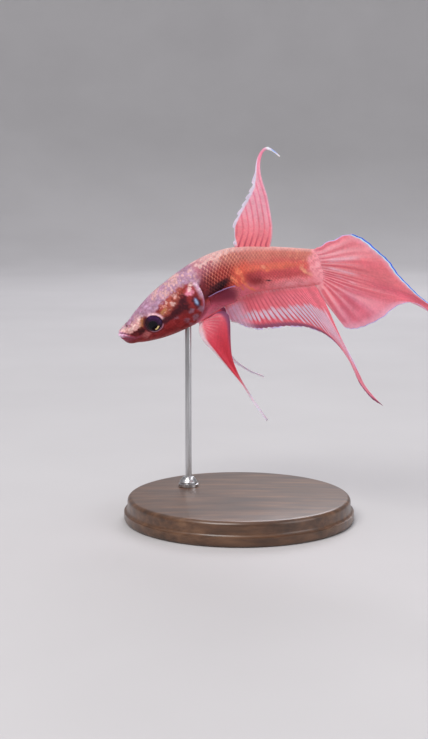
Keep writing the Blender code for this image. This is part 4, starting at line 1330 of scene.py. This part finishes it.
def lathe(name, middle, profile, finish):
    """A turned piece, closed at the middle of its underside and of its top."""
    points, rows = turned(profile, middle), len(profile)
    faces, uv = capped_grid(rows, LATHE_SEGMENTS), grid_uv(rows, LATHE_SEGMENTS, closed=True)
    uv = np.concatenate([uv, np.full((len(faces) - len(uv), 4, 2), HIDDEN_UV)])
    obj = add_piece(name, points, faces, np.ones((points.size // 3, 3)), finish, uv)
    obj.data.set_sharp_from_angle(angle=SHARP)
    return obj


def arc(middle, radius, start, end, steps=8):
    """Points of an arc, in degrees from outwards, with up as 90."""
    turns = np.radians(np.linspace(start, end, steps))
    return [(middle[0] + radius * math.cos(t), middle[1] + radius * math.sin(t)) for t in turns]


def round_node(name):
    """Middle, radius, bottom and top of a node of the stand."""
    low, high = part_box(name)
    return (low + high) / 2, (high.x - low.x) / 2, low.z, high.z


def make_base(finish):
    """A disc with an eased foot, a cove round its side and a rounded top edge."""
    middle, radius, _, top = round_node("stand_base")
    bevel, cove = 1.0 * MM, 0.8 * MM
    profile = [(0.2 * MM, 0), (radius - 0.6 * MM, 0), (radius - 0.2 * MM, 0.25 * MM), (radius, 0.7 * MM)]
    profile += [(radius, 2.2 * MM)] + arc((radius, 3.0 * MM), cove, 270, 180)[1:]
    profile += arc((radius - cove - bevel, top - bevel - 0.4 * MM), bevel, 0, 90)
    profile += [(radius * 0.6, top - 0.15 * MM), (radius * 0.3, top), (0.2 * MM, top)]
    return lathe("base", middle, profile, finish)


def make_rod(finish):
    middle, radius, bottom, top = round_node("stand_rod")
    edge = 0.2 * MM
    profile = [(radius - edge, bottom), (radius, bottom + edge)]
    profile += arc((radius - edge, top - edge), edge, 0, 90, 4) + [(0.1 * MM, top)]
    return lathe("rod", middle, profile, finish)


def make_collar(finish):
    """A ring round the foot of the rod, let into the base, with a bead and a narrower neck."""
    middle, radius, bottom, top = round_node("stand_collar")
    rod, edge = round_node("stand_rod")[1], 0.35 * MM
    profile = [(0.9 * MM, bottom - 0.3 * MM), (radius, bottom - 0.3 * MM), (radius, bottom + 0.3 * MM)]
    profile += arc((radius - edge - 0.25 * MM, bottom + 0.75 * MM), edge, -60, 60, 7)
    profile += arc((radius * 0.62 - edge, top - edge), edge, 0, 90, 6) + [(rod * 1.02, top)]
    return lathe("collar", middle, profile, finish)


def make_stand():
    wood, steel = wood_finish(), steel_finish()
    return {"stand_base": make_base(wood), "stand_rod": make_rod(steel), "stand_collar": make_collar(steel)}


# --- putting the pieces on the frame -------------------------------------------------------------------


def attach(piece, slot, *nodes):
    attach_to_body(piece, "root")
    if nodes:
        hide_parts(*nodes)


FLESH = ("head", "lower_jaw", "trunk", "tail_stalk", "gill_cover_left", "gill_cover_right")
attach(make_skin(), "skin_body", *FLESH)
for scales in make_coat():
    slots = {"scales_crown": "skin_head", "scales_gill_covers": "gill_cover"}
    attach(scales, slots.get(scales.name, "skin_body"), "trunk")
for side, word in ((1, "left"), (-1, "right")):
    attach(make_eye(side, word), "eye", f"eye_{word}")
for node_name, fin in make_fins().items():
    attach(fin, "clear_fin" if "pectoral" in node_name else "fin", node_name)
for node_name, piece in make_stand().items():
    attach(piece, "stand_wood" if node_name == "stand_base" else "stand_metal", node_name)

# --- floor, light and camera ---------------------------------------------------------------------------

# Floor, in metres
FLOOR_RADIUS = 0.9
COVE_RADIUS = 0.5
WALL_TOP = 1.3
AIM = (0, 0, 0.05)          # the lights point here
SNOUT = place(0.0, 0.0, 0.0)


def floor_finish():
    made, tree, shader, where = new_finish("pale_floor")
    paper = noise_on(tree, where, 9, 3)
    feed(tree, shader, {
        "Base Color": ramp(tree, paper, (0.35, (0.50, 0.49, 0.50)), (0.65, (0.53, 0.52, 0.53))),
        "Roughness": 0.85,
    })
    return made


def make_floor():
    """A round floor that curves up into a low wall on every side."""
    profile = [(0.01, 0.0), (0.3, 0.0), (FLOOR_RADIUS, 0.0)]
    profile += arc((FLOOR_RADIUS, COVE_RADIUS), COVE_RADIUS, -90, 0, 24)[1:]
    profile += [(FLOOR_RADIUS + COVE_RADIUS, WALL_TOP)]
    points, rows = turned(profile), len(profile)
    cap, _ = end_caps(rows, LATHE_SEGMENTS)
    faces = np.concatenate([grid_faces(rows, LATHE_SEGMENTS, closed=True), cap])[:, ::-1]
    uv = np.concatenate([grid_uv(rows, LATHE_SEGMENTS, closed=True), np.full((len(cap), 4, 2), 0.005)])
    floor = add_piece("floor", points, faces, np.ones((points.size // 3, 3)), floor_finish(), uv)


def add_light(name, at, size, power, colour):
    light = bpy.data.lights.new(name, "AREA")
    light.shape = "DISK"
    light.size = size
    light.energy = power
    light.color = colour
    obj = bpy.data.objects.new(name, light)
    obj.location = at
    obj.rotation_euler = (Vector(AIM) - obj.location).to_track_quat("-Z", "Y").to_euler()
    bpy.context.scene.collection.objects.link(obj)


def make_light():
    world = bpy.data.worlds.new("studio")
    world.use_nodes = True
    background = world.node_tree.nodes["Background"]
    background.inputs["Color"].default_value = (0.95, 0.96, 1.0, 1)
    background.inputs["Strength"].default_value = 0.62
    bpy.context.scene.world = world
    add_light("key", (-0.30, -0.55, 0.75), 0.55, 7.0, (1.0, 0.97, 0.94))
    add_light("fill", (0.70, -0.35, 0.35), 0.60, 2.1, (0.96, 0.97, 1.0))
    add_light("back", (0.15, 0.75, 0.65), 0.50, 3.4, (0.96, 0.95, 1.0))


ELEVATION = math.radians(8)
DISTANCE = 330 * MM
FRAME_HEIGHT = 174.4 * MM   # height of the view at the snout's distance
SNOUT_LEFT = 22.54 * MM     # the snout lies this far left of the middle of the view
SNOUT_ABOVE = 8.38 * MM
SENSOR = 36                 # width of the camera's sensor, mm


def make_camera():
    camera = bpy.data.cameras.new("camera")
    camera.sensor_fit = "AUTO"
    camera.sensor_width = SENSOR
    camera.lens = SENSOR * DISTANCE / FRAME_HEIGHT
    camera.clip_start = 0.01
    obj = bpy.data.objects.new("camera", camera)
    back = np.array((0, -math.cos(ELEVATION), math.sin(ELEVATION)))
    right = np.array((1, 0, 0))
    up = np.cross(back, right)
    obj.location = SNOUT + DISTANCE * back + SNOUT_LEFT * right - SNOUT_ABOVE * up
    obj.rotation_euler = (math.pi / 2 - ELEVATION, 0, 0)
    bpy.context.scene.collection.objects.link(obj)
    bpy.context.scene.camera = obj


make_floor()
make_light()
make_camera()
bpy.context.scene.view_settings.view_transform = "Standard"
